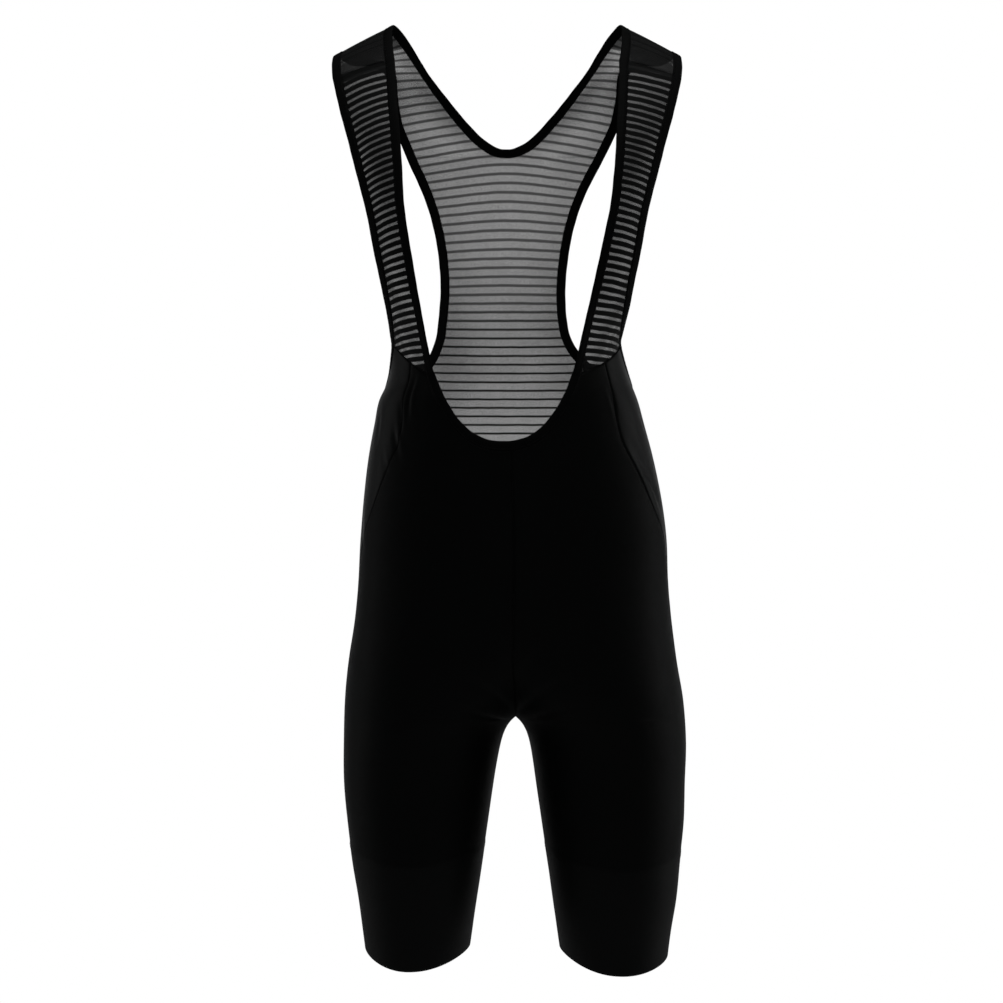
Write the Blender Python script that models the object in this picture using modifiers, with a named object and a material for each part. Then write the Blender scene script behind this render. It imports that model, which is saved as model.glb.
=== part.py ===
"""Cycling bib shorts, filled out as they are worn, in metres with +Z up.

The front faces -Y and the wearer's left is at +X. The origin is midway between the shoulders, at the
height where the straps lie on them. Every piece of cloth is a thin wall on one form, which the tables
below give a row at a time; the rows are joined by smooth curves.
"""

import bpy
import numpy as np

GARMENT = "cycling_bib_shorts"
LEFT, RIGHT = 1, -1

# Driving dimensions.
LYCRA_WALL = 0.0012
MESH_WALL = 0.0010
BINDING_WIDTH = 0.0090
BINDING_WALL = 0.0022
SEAM_GAP = 0.0003
SEAM_GAP_U = 0.00035  # half of a seam's gap, as a share of the way round one half of the body
CROTCH_Z = -0.684
CROTCH_FRONT_RISE = 0.130
CROTCH_BACK_RISE = 0.160
CROTCH_FULLNESS = 1.7
TORSO_SQUARENESS = 2.3
LEG_SQUARENESS = 2.1
INSEAM_ROUND = (0.0125, 0.011)  # how far the crotch arch opens, and over what height
INSEAM_SPREAD = 0.145
HEM = {  # height, then how much the sine, its square, the cosine, their product and the cosine cubed add
    LEFT: (-0.9217, 0.0057, -0.0105, -0.0025, 0.0015, -0.0010),
    RIGHT: (-0.9168, 0.0055, -0.0110, -0.0024, 0.0024, 0.0018),
}
HEM_BACK_RISE = 0.012
HEM_AROUND = -0.920  # the height at which a hem point's place round the leg is read
SCOOP = {"mid": -0.0036, "bottom": -0.4155, "rise": 0.084, "half_width": 0.0768}
SCOOP_FLATNESS, SCOOP_STEEPNESS = 2.4, 1.3  # how flat its bottom is, and how upright its ends
STRAP_SEAM = {"inner": (0.0750, -0.3370), "outer": (0.1130, -0.3095)}


def table(names, *rows):
    """Named columns from rows of numbers."""
    return dict(zip(names.split(), np.array(rows, float).T))


# The body's sections. The widths are taken from the middle, and front, side and back are the depths
# of the surface at centre front, at its widest and at centre back.
BODY = table(
    "z       mid     wide_right wide_left front   side    back",
    (-0.100, -0.0015, 0.172, 0.172, -0.095, -0.005, 0.0890),
    (-0.150, -0.0030, 0.160, 0.160, -0.105, -0.005, 0.0990),
    (-0.200, -0.0035, 0.147, 0.147, -0.109, -0.005, 0.1035),
    (-0.250, -0.0040, 0.132, 0.132, -0.111, -0.005, 0.1010),
    (-0.300, -0.0035, 0.1180, 0.1180, -0.111, -0.005, 0.0950),
    (-0.320, -0.0005, 0.1185, 0.1185, -0.111, -0.005, 0.0918),
    (-0.345, 0.0015, 0.1230, 0.1240, -0.112, -0.005, 0.0880),
    (-0.362, 0.0015, 0.1310, 0.1305, -0.113, -0.005, 0.0860),
    (-0.387, 0.0025, 0.1370, 0.1365, -0.113, -0.004, 0.0840),
    (-0.423, 0.0040, 0.1448, 0.1449, -0.113, -0.003, 0.0850),
    (-0.464, 0.0056, 0.1514, 0.1515, -0.113, -0.002, 0.0910),
    (-0.505, 0.0066, 0.1555, 0.1556, -0.113, 0.000, 0.1010),
    (-0.546, 0.0066, 0.1576, 0.1576, -0.112, 0.003, 0.1120),
    (-0.586, 0.0061, 0.1611, 0.1612, -0.110, 0.005, 0.1200),
    (-0.627, 0.0058, 0.1668, 0.1668, -0.106, 0.007, 0.1240),
    (-0.668, 0.0085, 0.1735, 0.1712, -0.100, 0.009, 0.1200),
    (-0.709, 0.0085, 0.1748, 0.1737, -0.092, 0.008, 0.1080),
    (-0.750, 0.0080, 0.1737, 0.1730, -0.086, 0.006, 0.0970),
    (-0.790, 0.0080, 0.1702, 0.1720, -0.083, 0.004, 0.0900),
    (-0.831, 0.0080, 0.1651, 0.1674, -0.080, 0.002, 0.0840),
    (-0.872, 0.0080, 0.1579, 0.1634, -0.076, 0.001, 0.0780),
    (-0.903, 0.0080, 0.1539, 0.1583, -0.073, 0.001, 0.0750),
    (-0.945, 0.0080, 0.1490, 0.1530, -0.070, 0.001, 0.0720),
)

# The seams between the front and the side panels, and between the side and the back panels.
FRONT_SIDE_SEAM = table(
    "z       u",
    (-0.320, 0.285),
    (-0.350, 0.262),
    (-0.389, 0.236),
    (-0.405, 0.250),
    (-0.429, 0.315),
    (-0.464, 0.391),
    (-0.495, 0.455),
    (-0.530, 0.500),
    (-0.600, 0.520),
    (-0.700, 0.520),
    (-0.945, 0.500),
)
SIDE_BACK_SEAM = table(
    "z       u",
    (-0.357, 0.620),
    (-0.420, 0.665),
    (-0.550, 0.700),
    (-0.684, 0.700),
    (-0.800, 0.665),
    (-0.945, 0.660),
)
# The lycra's edge under the arm, from the strap's outer corner to the back panel's corner.
UNDERARM = table(
    "u      z",
    (0.470, -0.3405),
    (0.520, -0.3518),
    (0.570, -0.3560),
    (0.620, -0.3570),
)
BACK_SEAM_DROP = 0.098
EDGE_SAMPLES = {"scoop": 40, "underarm": 30, "back": 20}

SHOULDER_AXIS = (0.10, -0.06)  # x and z of the line that straps and arms bow away from

# A strap's sections, from the shoulder seam down. A lean moves that edge of both straps to +X.
STRAP = table(
    "in_x    in_y     in_z     out_x   out_y    out_z    in_lean  bow",
    (0.1215, -0.0410, -0.0235, 0.1675, -0.0340, -0.0355, 0.0000, 0.0010),
    (0.1190, -0.0655, -0.0630, 0.1605, -0.0525, -0.0667, 0.0005, 0.0015),
    (0.1155, -0.0864, -0.1050, 0.1505, -0.0696, -0.1055, 0.0010, 0.0020),
    (0.1125, -0.0980, -0.1420, 0.1416, -0.0811, -0.1418, 0.0010, 0.0022),
    (0.1090, -0.1035, -0.1778, 0.1330, -0.0876, -0.1772, 0.0000, 0.0022),
    (0.1025, -0.1053, -0.2132, 0.1265, -0.0887, -0.2130, -0.0010, 0.0022),
    (0.0955, -0.1030, -0.2484, 0.1199, -0.0838, -0.2482, -0.0018, 0.0025),
    (0.0875, -0.0985, -0.2830, 0.1150, -0.0680, -0.2800, -0.0026, 0.0030),
)
# The back piece's arms, from the same seam over the shoulder and down to the back of the neck.
ARM = table(
    "in_x    in_y     in_z     out_x   out_y    out_z    out_lean bow",
    (0.1215, -0.0410, -0.0232, 0.1675, -0.0340, -0.0352, 0.0000, 0.0010),
    (0.1245, -0.0230, -0.0045, 0.1690, -0.0190, -0.0180, 0.0000, 0.0010),
    (0.1240, 0.0010, 0.0160, 0.1670, 0.0010, -0.0065, 0.0000, 0.0005),
    (0.1140, 0.0150, 0.0090, 0.1535, 0.0175, -0.0115, 0.0000, 0.0015),
    (0.1035, 0.0275, -0.0035, 0.1331, 0.0340, -0.0105, 0.0000, 0.0025),
    (0.0875, 0.0490, -0.0256, 0.1168, 0.0515, -0.0210, 0.0000, 0.0030),
    (0.0707, 0.0660, -0.0477, 0.1143, 0.0655, -0.0450, 0.0000, 0.0040),
    (0.0535, 0.0765, -0.0685, 0.1098, 0.0745, -0.0692, -0.0005, 0.0045),
    (0.0340, 0.0840, -0.0890, 0.0998, 0.0790, -0.0925, -0.0010, 0.0040),
    (0.0160, 0.0875, -0.1008, 0.0960, 0.0808, -0.1012, -0.0015, 0.0030),
)
# Below the neck the back piece is whole: its height at the centre line, and its armhole edge.
YOKE = table(
    "in_z    out_x   out_z",
    (-0.1035, 0.0924, -0.1088),
    (-0.1350, 0.0797, -0.1340),
    (-0.1700, 0.0676, -0.1670),
    (-0.2050, 0.0600, -0.2050),
    (-0.2400, 0.0572, -0.2400),
    (-0.2750, 0.0588, -0.2740),
    (-0.3120, 0.0648, -0.3030),
    (-0.3540, 0.0810, -0.3280),
    (-0.4020, 0.1050, -0.3470),
)

# How many faces lie along each stretch.
SCOOP_FACES, STRAP_FRONT_FACES, STRAP_SIDE_FACES, UNDERARM_FACES, BACK_FACES = 8, 2, 2, 4, 7
TORSO_FACES, LEG_FACES, STRAP_LENGTH_FACES, ARM_FACES, YOKE_FACES = 12, 9, 14, 14, 15
TORSO_CROWDING, LEG_CROWDING = 1.25, 1.15  # rows lie closer together towards the crotch

COLOURS = {  # base colour, roughness
    "lycra": ((0.006, 0.007, 0.007), 0.55),
    "shiny_lycra": ((0.009, 0.010, 0.011), 0.35),
    "striped_mesh": ((0.030, 0.031, 0.032), 0.70),
    "binding": ((0.004, 0.004, 0.004), 0.75),
}


def through_rows(at, knots, values):
    """A smooth curve through rows of values: cubic pieces, each end's slope taken from its neighbours."""
    knots, values = np.asarray(knots, float), np.asarray(values, float)
    if knots[0] > knots[-1]:
        knots, values = knots[::-1], values[::-1]
    slopes = np.gradient(values, knots, axis=0, edge_order=2)
    at = np.clip(at, knots[0], knots[-1])
    row = np.clip(np.searchsorted(knots, at, side="right") - 1, 0, len(knots) - 2)
    span = knots[row + 1] - knots[row]
    t = (at - knots[row]) / span
    shape = np.shape(t) + (1,) * (values.ndim - 1)
    t, span = np.reshape(t, shape), np.reshape(span, shape)
    ends = values[row] * (1 + 2 * t) * (1 - t) ** 2 + values[row + 1] * (3 - 2 * t) * t**2
    turns = slopes[row] * t * (1 - t) ** 2 - slopes[row + 1] * (1 - t) * t**2
    return ends + span * turns


def lerp(a, b, t):
    return a + (b - a) * t


def power(value, exponent):
    """A power that keeps its value's sign."""
    return np.sign(value) * np.abs(value) ** exponent


def body_row(side, z):
    """The body table's middle, width and depths at each height, for one side."""
    wide = "wide_left" if side == LEFT else "wide_right"
    return [through_rows(z, BODY["z"], BODY[name]) for name in ("mid", wide, "front", "side", "back")]


def ring(angle, squareness):
    """A rounded square's cosine and sine."""
    cosine, sine = np.cos(angle), np.sin(angle)
    return power(cosine, 2 / squareness), power(sine, 2 / squareness)


def body(side, u, z):
    """Points of the body's cloth. u goes round one half: 0 centre front or inseam, 0.5 the side, 1 centre back.

    Each level is an arc of a rounded square that ends in the middle plane. The trunk's arc is a half
    ring about the middle. Towards the crotch its centre moves out to the leg's, so that the arc closes
    and its two ends meet, and below the crotch it is a whole ring, clear of the middle.
    """
    u, z = np.broadcast_arrays(np.asarray(u, float), np.asarray(z, float))
    mid, wide, front, side_y, back = body_row(side, z)
    below, above = np.maximum(CROTCH_Z - z, 0), np.maximum(z - CROTCH_Z, 0)
    rise = np.where(u < 0.5, CROTCH_FRONT_RISE, CROTCH_BACK_RISE)
    closed = np.clip(1 - above / rise, 0, 1) ** CROTCH_FULLNESS
    opening, height = INSEAM_ROUND
    inner = opening * (1 - np.exp(-below / height)) + INSEAM_SPREAD * below
    squareness = lerp(TORSO_SQUARENESS, LEG_SQUARENESS, closed)
    centre = wide * closed / (1 + closed) + inner / 2
    end = np.arccos(-(closed ** (squareness / 2)))
    cosine, sine = ring(end * (2 * u - 1), squareness)
    x = centre + (wide - centre) * cosine
    y = side_y + np.where(u < 0.5, side_y - front, back - side_y) * sine
    return np.stack([mid + side * (x + SEAM_GAP / 2), y, z], axis=-1)


def u_at(side, x, z, behind=False):
    """Which u a distance from the middle has, in front or behind, above the crotch."""
    mid, wide, *_ = body_row(side, z)
    share = np.clip((side * x - side * mid) / wide, 0, 1)
    turn = np.arccos(share ** (TORSO_SQUARENESS / 2)) / np.pi
    return 0.5 + turn if behind else 0.5 - turn


def scoop_height(x):
    """The front neckline: a rounded arc, flat at the bottom and upright where the straps begin."""
    share = np.clip(np.abs(x - SCOOP["mid"]) / SCOOP["half_width"], 0, 1)
    return SCOOP["bottom"] + SCOOP["rise"] * (1 - (1 - share**SCOOP_FLATNESS) ** (1 / SCOOP_STEEPNESS))


def corners(side):
    """u at the strap's inner corner, the panel seam, the strap's outer corner and the back corner."""
    inner_x, inner_z = STRAP_SEAM["inner"]
    outer_x, outer_z = STRAP_SEAM["outer"]
    inner = u_at(side, SCOOP["mid"] + side * inner_x, inner_z)
    return float(inner), FRONT_SIDE_SEAM["u"][0], float(u_at(side, side * outer_x, outer_z)), UNDERARM["u"][-1]


def top_edge(side):
    """u and z along the whole top of the lycra, from centre front to centre back."""
    inner, _, outer, back = corners(side)
    mid = body_row(side, SCOOP["bottom"])[0]
    x = np.linspace(mid, SCOOP["mid"] + side * STRAP_SEAM["inner"][0], EDGE_SAMPLES["scoop"])
    z = scoop_height(x)
    scoop_u = u_at(side, x, z)
    scoop_u = (scoop_u - scoop_u[0]) * inner / (scoop_u[-1] - scoop_u[0])
    seam_u = np.array([lerp(inner, outer, 0.5), outer])
    seam_z = np.array([lerp(z[-1], STRAP_SEAM["outer"][1], 0.5), STRAP_SEAM["outer"][1]])
    arm_u = np.linspace(outer, back, EDGE_SAMPLES["underarm"])[1:]
    arm_z = through_rows(arm_u, np.append(outer, UNDERARM["u"]), np.append(seam_z[-1], UNDERARM["z"]))
    back_u = np.linspace(back, 1, EDGE_SAMPLES["back"])[1:]
    share = (back_u - back) / (1 - back)
    back_z = UNDERARM["z"][-1] - BACK_SEAM_DROP * (1 - (1 - share) ** 2)
    return np.concatenate([scoop_u, seam_u, arm_u, back_u]), np.concatenate([z, seam_z, arm_z, back_z])


def hem_height(side, u):
    """The hem hangs lowest in front; its sine is -1 at the front of the leg and 1 at its back."""
    cosine, sine = np.cos(2 * np.pi * (u - 0.5)), np.sin(2 * np.pi * (u - 0.5))
    terms = (1.0, sine, sine**2, cosine, cosine * sine, cosine**3)
    height = sum(share * term for share, term in zip(HEM[side], terms))
    return height + HEM_BACK_RISE * np.maximum(sine, 0) ** 2


def spread(*stretches):
    """Numbers along joined stretches, each given as start, end and faces."""
    pieces = [np.linspace(start, end, faces + 1)[:-1] for start, end, faces in stretches]
    return np.append(np.concatenate(pieces), stretches[-1][1])


def panel(side, top_u, seams, shift):
    """A lycra panel's grid, from its top edge to the hem, between two seams that are functions of z.

    Each column starts at its own place on the top edge and keeps its share of the way between the seams.
    """
    edge_u, edge_z = top_edge(side)
    top_z = np.interp(top_u, edge_u, edge_z)
    share = (top_u - top_u[0]) / (top_u[-1] - top_u[0])
    torso = 1 - (1 - np.linspace(0, 1, TORSO_FACES + 1)) ** TORSO_CROWDING
    rows = []
    for part in torso:
        z = lerp(top_z, CROTCH_Z, part)
        fade = (1 - part) ** 2
        u = lerp(seams[0](z), seams[1](z), share)
        rows.append((lerp(u, top_u, fade), z))
    for part in np.linspace(0, 1, LEG_FACES + 1)[1:] ** LEG_CROWDING:
        bottom = hem_height(side, lerp(seams[0](HEM_AROUND), seams[1](HEM_AROUND), share))
        z = lerp(CROTCH_Z, bottom, part)
        rows.append((lerp(seams[0](z), seams[1](z), share), z))
    u, z = np.array([row[0] for row in rows]), np.array([row[1] for row in rows])
    return clear_of_centre(side, body(side, u, z) + np.array([0, shift, 0]), u)


def clear_of_centre(side, grid, u):
    """Moves a centre seam out by the half wall that would lean over the middle where the seam dips in."""
    for column, neighbour in ((0, 1), (-1, -2)):
        if u[0, column] not in (0.0, 1.0):
            continue
        across = grid[: TORSO_FACES + 1, neighbour] - grid[: TORSO_FACES + 1, column]
        down = np.gradient(grid[: TORSO_FACES + 1, column], axis=0)
        normal = np.cross(across, down)
        lean = np.abs(normal[:, 0]) / np.linalg.norm(normal, axis=1)
        grid[: TORSO_FACES + 1, column, 0] += side * LYCRA_WALL / 2 * lean
    return grid


def seam(rows, offset):
    return lambda z: through_rows(z, rows["z"], rows["u"]) + offset


def still(u):
    return lambda z: np.full(np.shape(z), float(u))


def bowed(inner, outer, bow, t, outward):
    """A section: straight from edge to edge, pushed outward by a parabola."""
    t = t[:, None]
    return lerp(inner, outer, t) + outward * bow * 4 * t * (1 - t)


def section_edges(rows, index, side):
    """A section's two ends on one side. A lean moves an end the same way on both sides."""
    ends = []
    for end in ("in", "out"):
        x, y, z = (rows[f"{end}_{axis}"][index] for axis in "xyz")
        lean = rows[f"{end}_lean"][index] if f"{end}_lean" in rows else 0.0
        ends.append(np.array([side * x + lean, y, z]))
    return ends


def away_from_axis(inner, outer, side):
    """Outward from the trunk: square to the section, and away from a line down through the shoulder."""
    middle = (inner + outer) / 2 - np.array([side * SHOULDER_AXIS[0], 0.0, SHOULDER_AXIS[1]])
    across = (outer - inner) / np.linalg.norm(outer - inner)
    middle -= across * (middle @ across)
    return middle / np.linalg.norm(middle)


def strap(side, faces):
    """A strap's grid, from the shoulder seam to the lycra, whose top edge gives its last row."""
    inner_u, seam_u, outer_u, _ = corners(side)
    columns = spread((inner_u, seam_u, STRAP_FRONT_FACES), (seam_u, outer_u, STRAP_SIDE_FACES))
    t = (columns - inner_u) / (outer_u - inner_u)
    rows = []
    for index, bow in enumerate(STRAP["bow"]):
        inner, outer = section_edges(STRAP, index, side)
        rows.append(bowed(inner, outer, bow, t, away_from_axis(inner, outer, side)))
    rows.append(body(side, columns, np.interp(columns, *top_edge(side)) + SEAM_GAP))
    rows = np.array(rows)
    way = np.append(0, np.cumsum(np.linalg.norm(np.diff(rows[:, len(t) // 2], axis=0), axis=1)))
    return through_rows(np.linspace(0, way[-1], faces + 1), way, rows)


def back_half(side):
    """Half of the back piece: its arm from the shoulder seam, then its half of the racer back."""
    columns = np.linspace(0, 1, BACK_FACES + 1)
    rows = []
    for index, bow in enumerate(ARM["bow"]):
        inner, outer = section_edges(ARM, index, side)
        rows.append(bowed(inner, outer, bow, columns, away_from_axis(inner, outer, side)))
    for in_z, out_x, out_z in zip(*YOKE.values()):
        mid = body_row(side, out_z)[0]
        outer_u = u_at(side, mid + side * out_x, out_z, behind=True)
        rows.append(body(side, lerp(1.0, outer_u, columns), lerp(in_z, out_z, columns)))
    u = lerp(1.0, UNDERARM["u"][-1], columns)
    rows.append(body(side, u, np.interp(u, *top_edge(side)) + 1.5 * SEAM_GAP))
    rows = np.array(rows)
    fork, end = len(ARM["bow"]), len(rows) - 1
    at = spread((0, fork, ARM_FACES), (fork, end, YOKE_FACES))
    whole = through_rows(at, np.arange(end + 1), rows)
    arm = through_rows(at[:ARM_FACES], np.arange(fork + 1), rows[: fork + 1])
    yoke = through_rows(at[ARM_FACES:], np.arange(fork, end + 1), rows[fork:])
    grid = lerp(np.concatenate([arm, yoke]), whole, np.sqrt(columns)[None, :, None])
    grid[ARM_FACES:, 0, 0] = through_rows(grid[ARM_FACES:, 0, 2], BODY["z"], BODY["mid"])
    return grid


def quads(rows, columns, first=0, flip=False):
    """The faces of a grid whose points are numbered row by row."""
    corner = (np.arange(rows - 1)[:, None] * columns + np.arange(columns - 1)).ravel() + first
    faces = np.stack([corner, corner + 1, corner + columns + 1, corner + columns], axis=1)
    return faces[:, ::-1] if flip else faces


def sheet(name, grids, wall, colour, parents):
    """An object from one grid or from two that share a line, with its wall grown both ways from it."""
    points, faces, first = [], [], 0
    for grid, flip in grids:
        rows, columns = grid.shape[:2]
        points.append(grid.reshape(-1, 3))
        faces.append(quads(rows, columns, first, flip))
        first += rows * columns
    mesh = bpy.data.meshes.new(name)
    mesh.from_pydata(np.concatenate(points).tolist(), [], np.concatenate(faces).tolist())
    return finish(name, mesh, wall, colour, parents)


def finish(name, mesh, wall, colour, parents):
    mesh.materials.append(material(colour))
    mesh.shade_smooth()
    piece = bpy.data.objects.new(name, mesh)
    parents.objects.link(piece)
    weld = piece.modifiers.new("join_halves", "WELD")
    weld.merge_threshold = 0.00001
    solid = piece.modifiers.new("wall", "SOLIDIFY")
    solid.thickness = wall
    solid.offset = 0.0
    solid.use_even_offset = True
    return piece


def material(name):
    if name in bpy.data.materials:
        return bpy.data.materials[name]
    made = bpy.data.materials.new(name)
    made.use_nodes = True
    shader = made.node_tree.nodes["Principled BSDF"]
    colour, roughness = COLOURS[name]
    shader.inputs["Base Color"].default_value = (*colour, 1.0)
    shader.inputs["Roughness"].default_value = roughness
    shader.inputs["Metallic"].default_value = 0.0
    return made


def edge(line, neighbour):
    """One stretch of a bound edge: its points, and the way into the panel at each."""
    return line, neighbour - line


def closed_ring(stretches):
    """Joined stretches as one loop. The two points that meet at a seam become the one between them."""
    points, inward = (np.concatenate([stretch[part] for stretch in stretches]) for part in (0, 1))
    meets = np.linalg.norm(np.roll(points, -1, axis=0) - points, axis=1) < 4 * SEAM_GAP
    points[meets] = (points[meets] + np.roll(points, -1, axis=0)[meets]) / 2
    inward = inward / np.linalg.norm(inward, axis=1, keepdims=True)
    inward[meets] += np.roll(inward, -1, axis=0)[meets]
    keep = ~np.roll(meets, 1)
    return points[keep], inward[keep]


def binding(name, stretches, parents):
    """A flat tape outside a bound edge: it starts a seam's gap away and lies in the panel's surface."""
    points, inward = closed_ring(stretches)
    along = np.roll(points, -1, axis=0) - np.roll(points, 1, axis=0)
    along /= np.linalg.norm(along, axis=1, keepdims=True)
    out = -inward + along * np.sum(inward * along, axis=1, keepdims=True)
    out /= np.linalg.norm(out, axis=1, keepdims=True)
    out = np.roll(out, 1, axis=0) + 2 * out + np.roll(out, -1, axis=0)
    out /= np.linalg.norm(out, axis=1, keepdims=True)
    reach = np.array([SEAM_GAP, SEAM_GAP + BINDING_WIDTH])
    grid = points[:, None] + out[:, None] * reach[:, None]
    grid = np.concatenate([grid, grid[:1]])
    return sheet(name, [(grid, False)], BINDING_WALL, "binding", parents)


def main():
    for leftover in list(bpy.data.objects):
        bpy.data.objects.remove(leftover)
    parents = bpy.data.collections.new(GARMENT)
    bpy.context.scene.collection.children.link(parents)
    backs, neck = {}, {}
    for side, word in ((LEFT, "left"), (RIGHT, "right")):
        flip = side == RIGHT
        inner, seam_u, outer, back = corners(side)
        front_side, side_back = seam(FRONT_SIDE_SEAM, -SEAM_GAP_U), seam(SIDE_BACK_SEAM, -SEAM_GAP_U)
        side_front, back_side = seam(FRONT_SIDE_SEAM, SEAM_GAP_U), seam(SIDE_BACK_SEAM, SEAM_GAP_U)
        front_u = spread((0, inner, SCOOP_FACES), (inner, seam_u - SEAM_GAP_U, STRAP_FRONT_FACES))
        side_u = spread(
            (seam_u + SEAM_GAP_U, outer, STRAP_SIDE_FACES),
            (outer, back - SEAM_GAP_U, UNDERARM_FACES),
        )
        back_u = spread((back + SEAM_GAP_U, 1, BACK_FACES))
        front_grid = panel(side, front_u, (still(0), front_side), -SEAM_GAP / 2)
        side_grid = panel(side, side_u, (side_front, side_back), 0)
        back_grid = panel(side, back_u, (back_side, still(1)), SEAM_GAP / 2)
        strap_grid = strap(side, STRAP_LENGTH_FACES)
        backs[side] = back_half(side)
        sheet(f"front_{word}", [(front_grid, flip)], LYCRA_WALL, "lycra", parents)
        sheet(f"side_{word}", [(side_grid, flip)], LYCRA_WALL, "shiny_lycra", parents)
        sheet(f"back_{word}", [(back_grid, flip)], LYCRA_WALL, "lycra", parents)
        sheet(f"strap_{word}", [(strap_grid, flip)], MESH_WALL, "striped_mesh", parents)
        arm, yoke = backs[side][: ARM_FACES + 1], backs[side][ARM_FACES:]
        neck[side] = [
            edge(front_grid[0, : SCOOP_FACES + 1], front_grid[1, : SCOOP_FACES + 1]),
            edge(strap_grid[::-1, 0], strap_grid[::-1, 1]),
            edge(arm[:, 0], np.concatenate([arm[:-1, 1], yoke[1:2, 0]])),
        ]
        underarm = side_grid[0, STRAP_SIDE_FACES:], side_grid[1, STRAP_SIDE_FACES:]
        armhole = [
            edge(strap_grid[::-1, -1], strap_grid[::-1, -2]),
            edge(arm[:-1, -1], arm[:-1, -2]),
            edge(yoke[:, -1], yoke[:, -2]),
            edge(underarm[0][::-1], underarm[1][::-1]),
        ]
        binding(f"armhole_binding_{word}", armhole, parents)
    other = [(line[::-1], inward[::-1]) for line, inward in neck[RIGHT][::-1]]
    binding("neck_binding", neck[LEFT] + other, parents)
    halves = [(backs[LEFT], False), (backs[RIGHT], True)]
    sheet("back_mesh", halves, MESH_WALL, "striped_mesh", parents)


main()
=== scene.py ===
# %% [markdown]
# Cycling bib shorts, as they are worn. The lycra body, the striped mesh of the straps and back, and the
# folded tape along the edges are each one thin sheet on the wearer's form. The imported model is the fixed
# frame: every piece below takes the place of one of its solids and keeps that solid's form and size.

import bpy
import numpy as np
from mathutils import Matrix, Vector


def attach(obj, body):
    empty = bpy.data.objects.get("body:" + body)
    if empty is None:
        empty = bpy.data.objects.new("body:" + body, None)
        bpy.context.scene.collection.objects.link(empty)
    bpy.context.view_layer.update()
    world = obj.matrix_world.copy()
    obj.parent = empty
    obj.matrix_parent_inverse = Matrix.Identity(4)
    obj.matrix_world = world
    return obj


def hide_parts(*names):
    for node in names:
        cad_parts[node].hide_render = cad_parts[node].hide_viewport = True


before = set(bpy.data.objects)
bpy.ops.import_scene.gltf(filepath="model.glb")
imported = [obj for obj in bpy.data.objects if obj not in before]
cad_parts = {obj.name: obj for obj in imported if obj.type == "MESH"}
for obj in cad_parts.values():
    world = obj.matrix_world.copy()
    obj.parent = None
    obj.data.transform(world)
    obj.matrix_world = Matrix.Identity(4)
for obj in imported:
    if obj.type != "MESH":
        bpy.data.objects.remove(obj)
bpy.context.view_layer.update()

# %% [markdown]
# The camera stands level in front of the shorts, nearly three metres off, with a long lens. A long lens
# flattens the form a little, as in catalogue pictures, so both straps and both legs keep their true widths.

# %% Camera
EYE = (-0.0056, -2.8, -0.4656)
LENS = 98.53

camera = bpy.data.objects.new("camera", bpy.data.cameras.new("camera"))
camera.data.lens = LENS
camera.data.clip_start, camera.data.clip_end = 0.05, 50.0
camera.location = EYE
camera.rotation_euler = (np.pi / 2, 0, 0)
bpy.context.scene.collection.objects.link(camera)
bpy.context.scene.camera = camera
bpy.context.scene.view_settings.view_transform = "Standard"
print("camera", EYE, "lens", LENS)

# %% [markdown]
# Shader maths reads best as ordinary sums. A socket of a node tree is wrapped in a small class whose
# operators each add one Math node, and one method adds any other node: its settings are set first,
# because they decide which sockets it has, and then its sockets are given numbers or links.

# %% Shader sums
class Wire:
    """One socket of a node tree. +, -, * and / with numbers or other wires add Math nodes."""

    def __init__(self, tree, socket=None):
        self.tree, self.socket = tree, socket

    def node(self, kind, settings=None, sockets=None, out=0):
        made = self.tree.nodes.new(kind)
        for name, value in (settings or {}).items():
            setattr(made, name, value)
        for name, value in (sockets or {}).items():
            if isinstance(value, Wire):
                self.tree.links.new(value.socket, made.inputs[name])
            else:
                made.inputs[name].default_value = value
        return Wire(self.tree, made.outputs[out]) if made.outputs else made

    def math(self, operation, *others):
        return self.node("ShaderNodeMath", {"operation": operation}, dict(enumerate((self, *others))))

    def __add__(self, other):
        return self.math("ADD", other)

    def __sub__(self, other):
        return self.math("SUBTRACT", other)

    def __rsub__(self, other):
        return self.node("ShaderNodeMath", {"operation": "SUBTRACT"}, {0: other, 1: self})

    def __mul__(self, other):
        return self.math("MULTIPLY", other)

    def __truediv__(self, other):
        return self.math("DIVIDE", other)

    __radd__, __rmul__ = __add__, __mul__

    def step(self, low, high):
        """0 below low, 1 above high, and a smooth rise between."""
        return self.node(
            "ShaderNodeMapRange",
            {"interpolation_type": "SMOOTHSTEP"},
            {"Value": self, "From Min": low, "From Max": high},
        )

    def noise(self, where, size, detail):
        """Cloudy noise, 0 to 1, whose patches are about this size in metres."""
        return self.node("ShaderNodeTexNoise", None, {"Vector": where, "Scale": 1 / size, "Detail": detail})


def new_material(name):
    """An empty material and the wire that starts its sums."""
    made = bpy.data.materials.new(name)
    made.use_nodes = True
    made.node_tree.nodes.clear()
    return made, Wire(made.node_tree)


def surface(wire, shader):
    wire.node("ShaderNodeOutputMaterial", None, {"Surface": shader})


print("shader sums ready")

# %% [markdown]
# Black cloth on white is lit mostly from the sides and from behind. Then its front stays near black and
# only the turned edges, the creases and the shinier side panels catch light. Large soft boxes give broad,
# soft highlights, and the room beyond them is dim. The floor and the space behind are plain white.

# %% Floor, room and lights
FLOOR_HEIGHT, FLOOR_HALF_WIDTH = -1.25, 20.0
MIDDLE = np.array([0.0, 0.0, -0.47])
ROOM_LIGHT = 0.045


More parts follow.
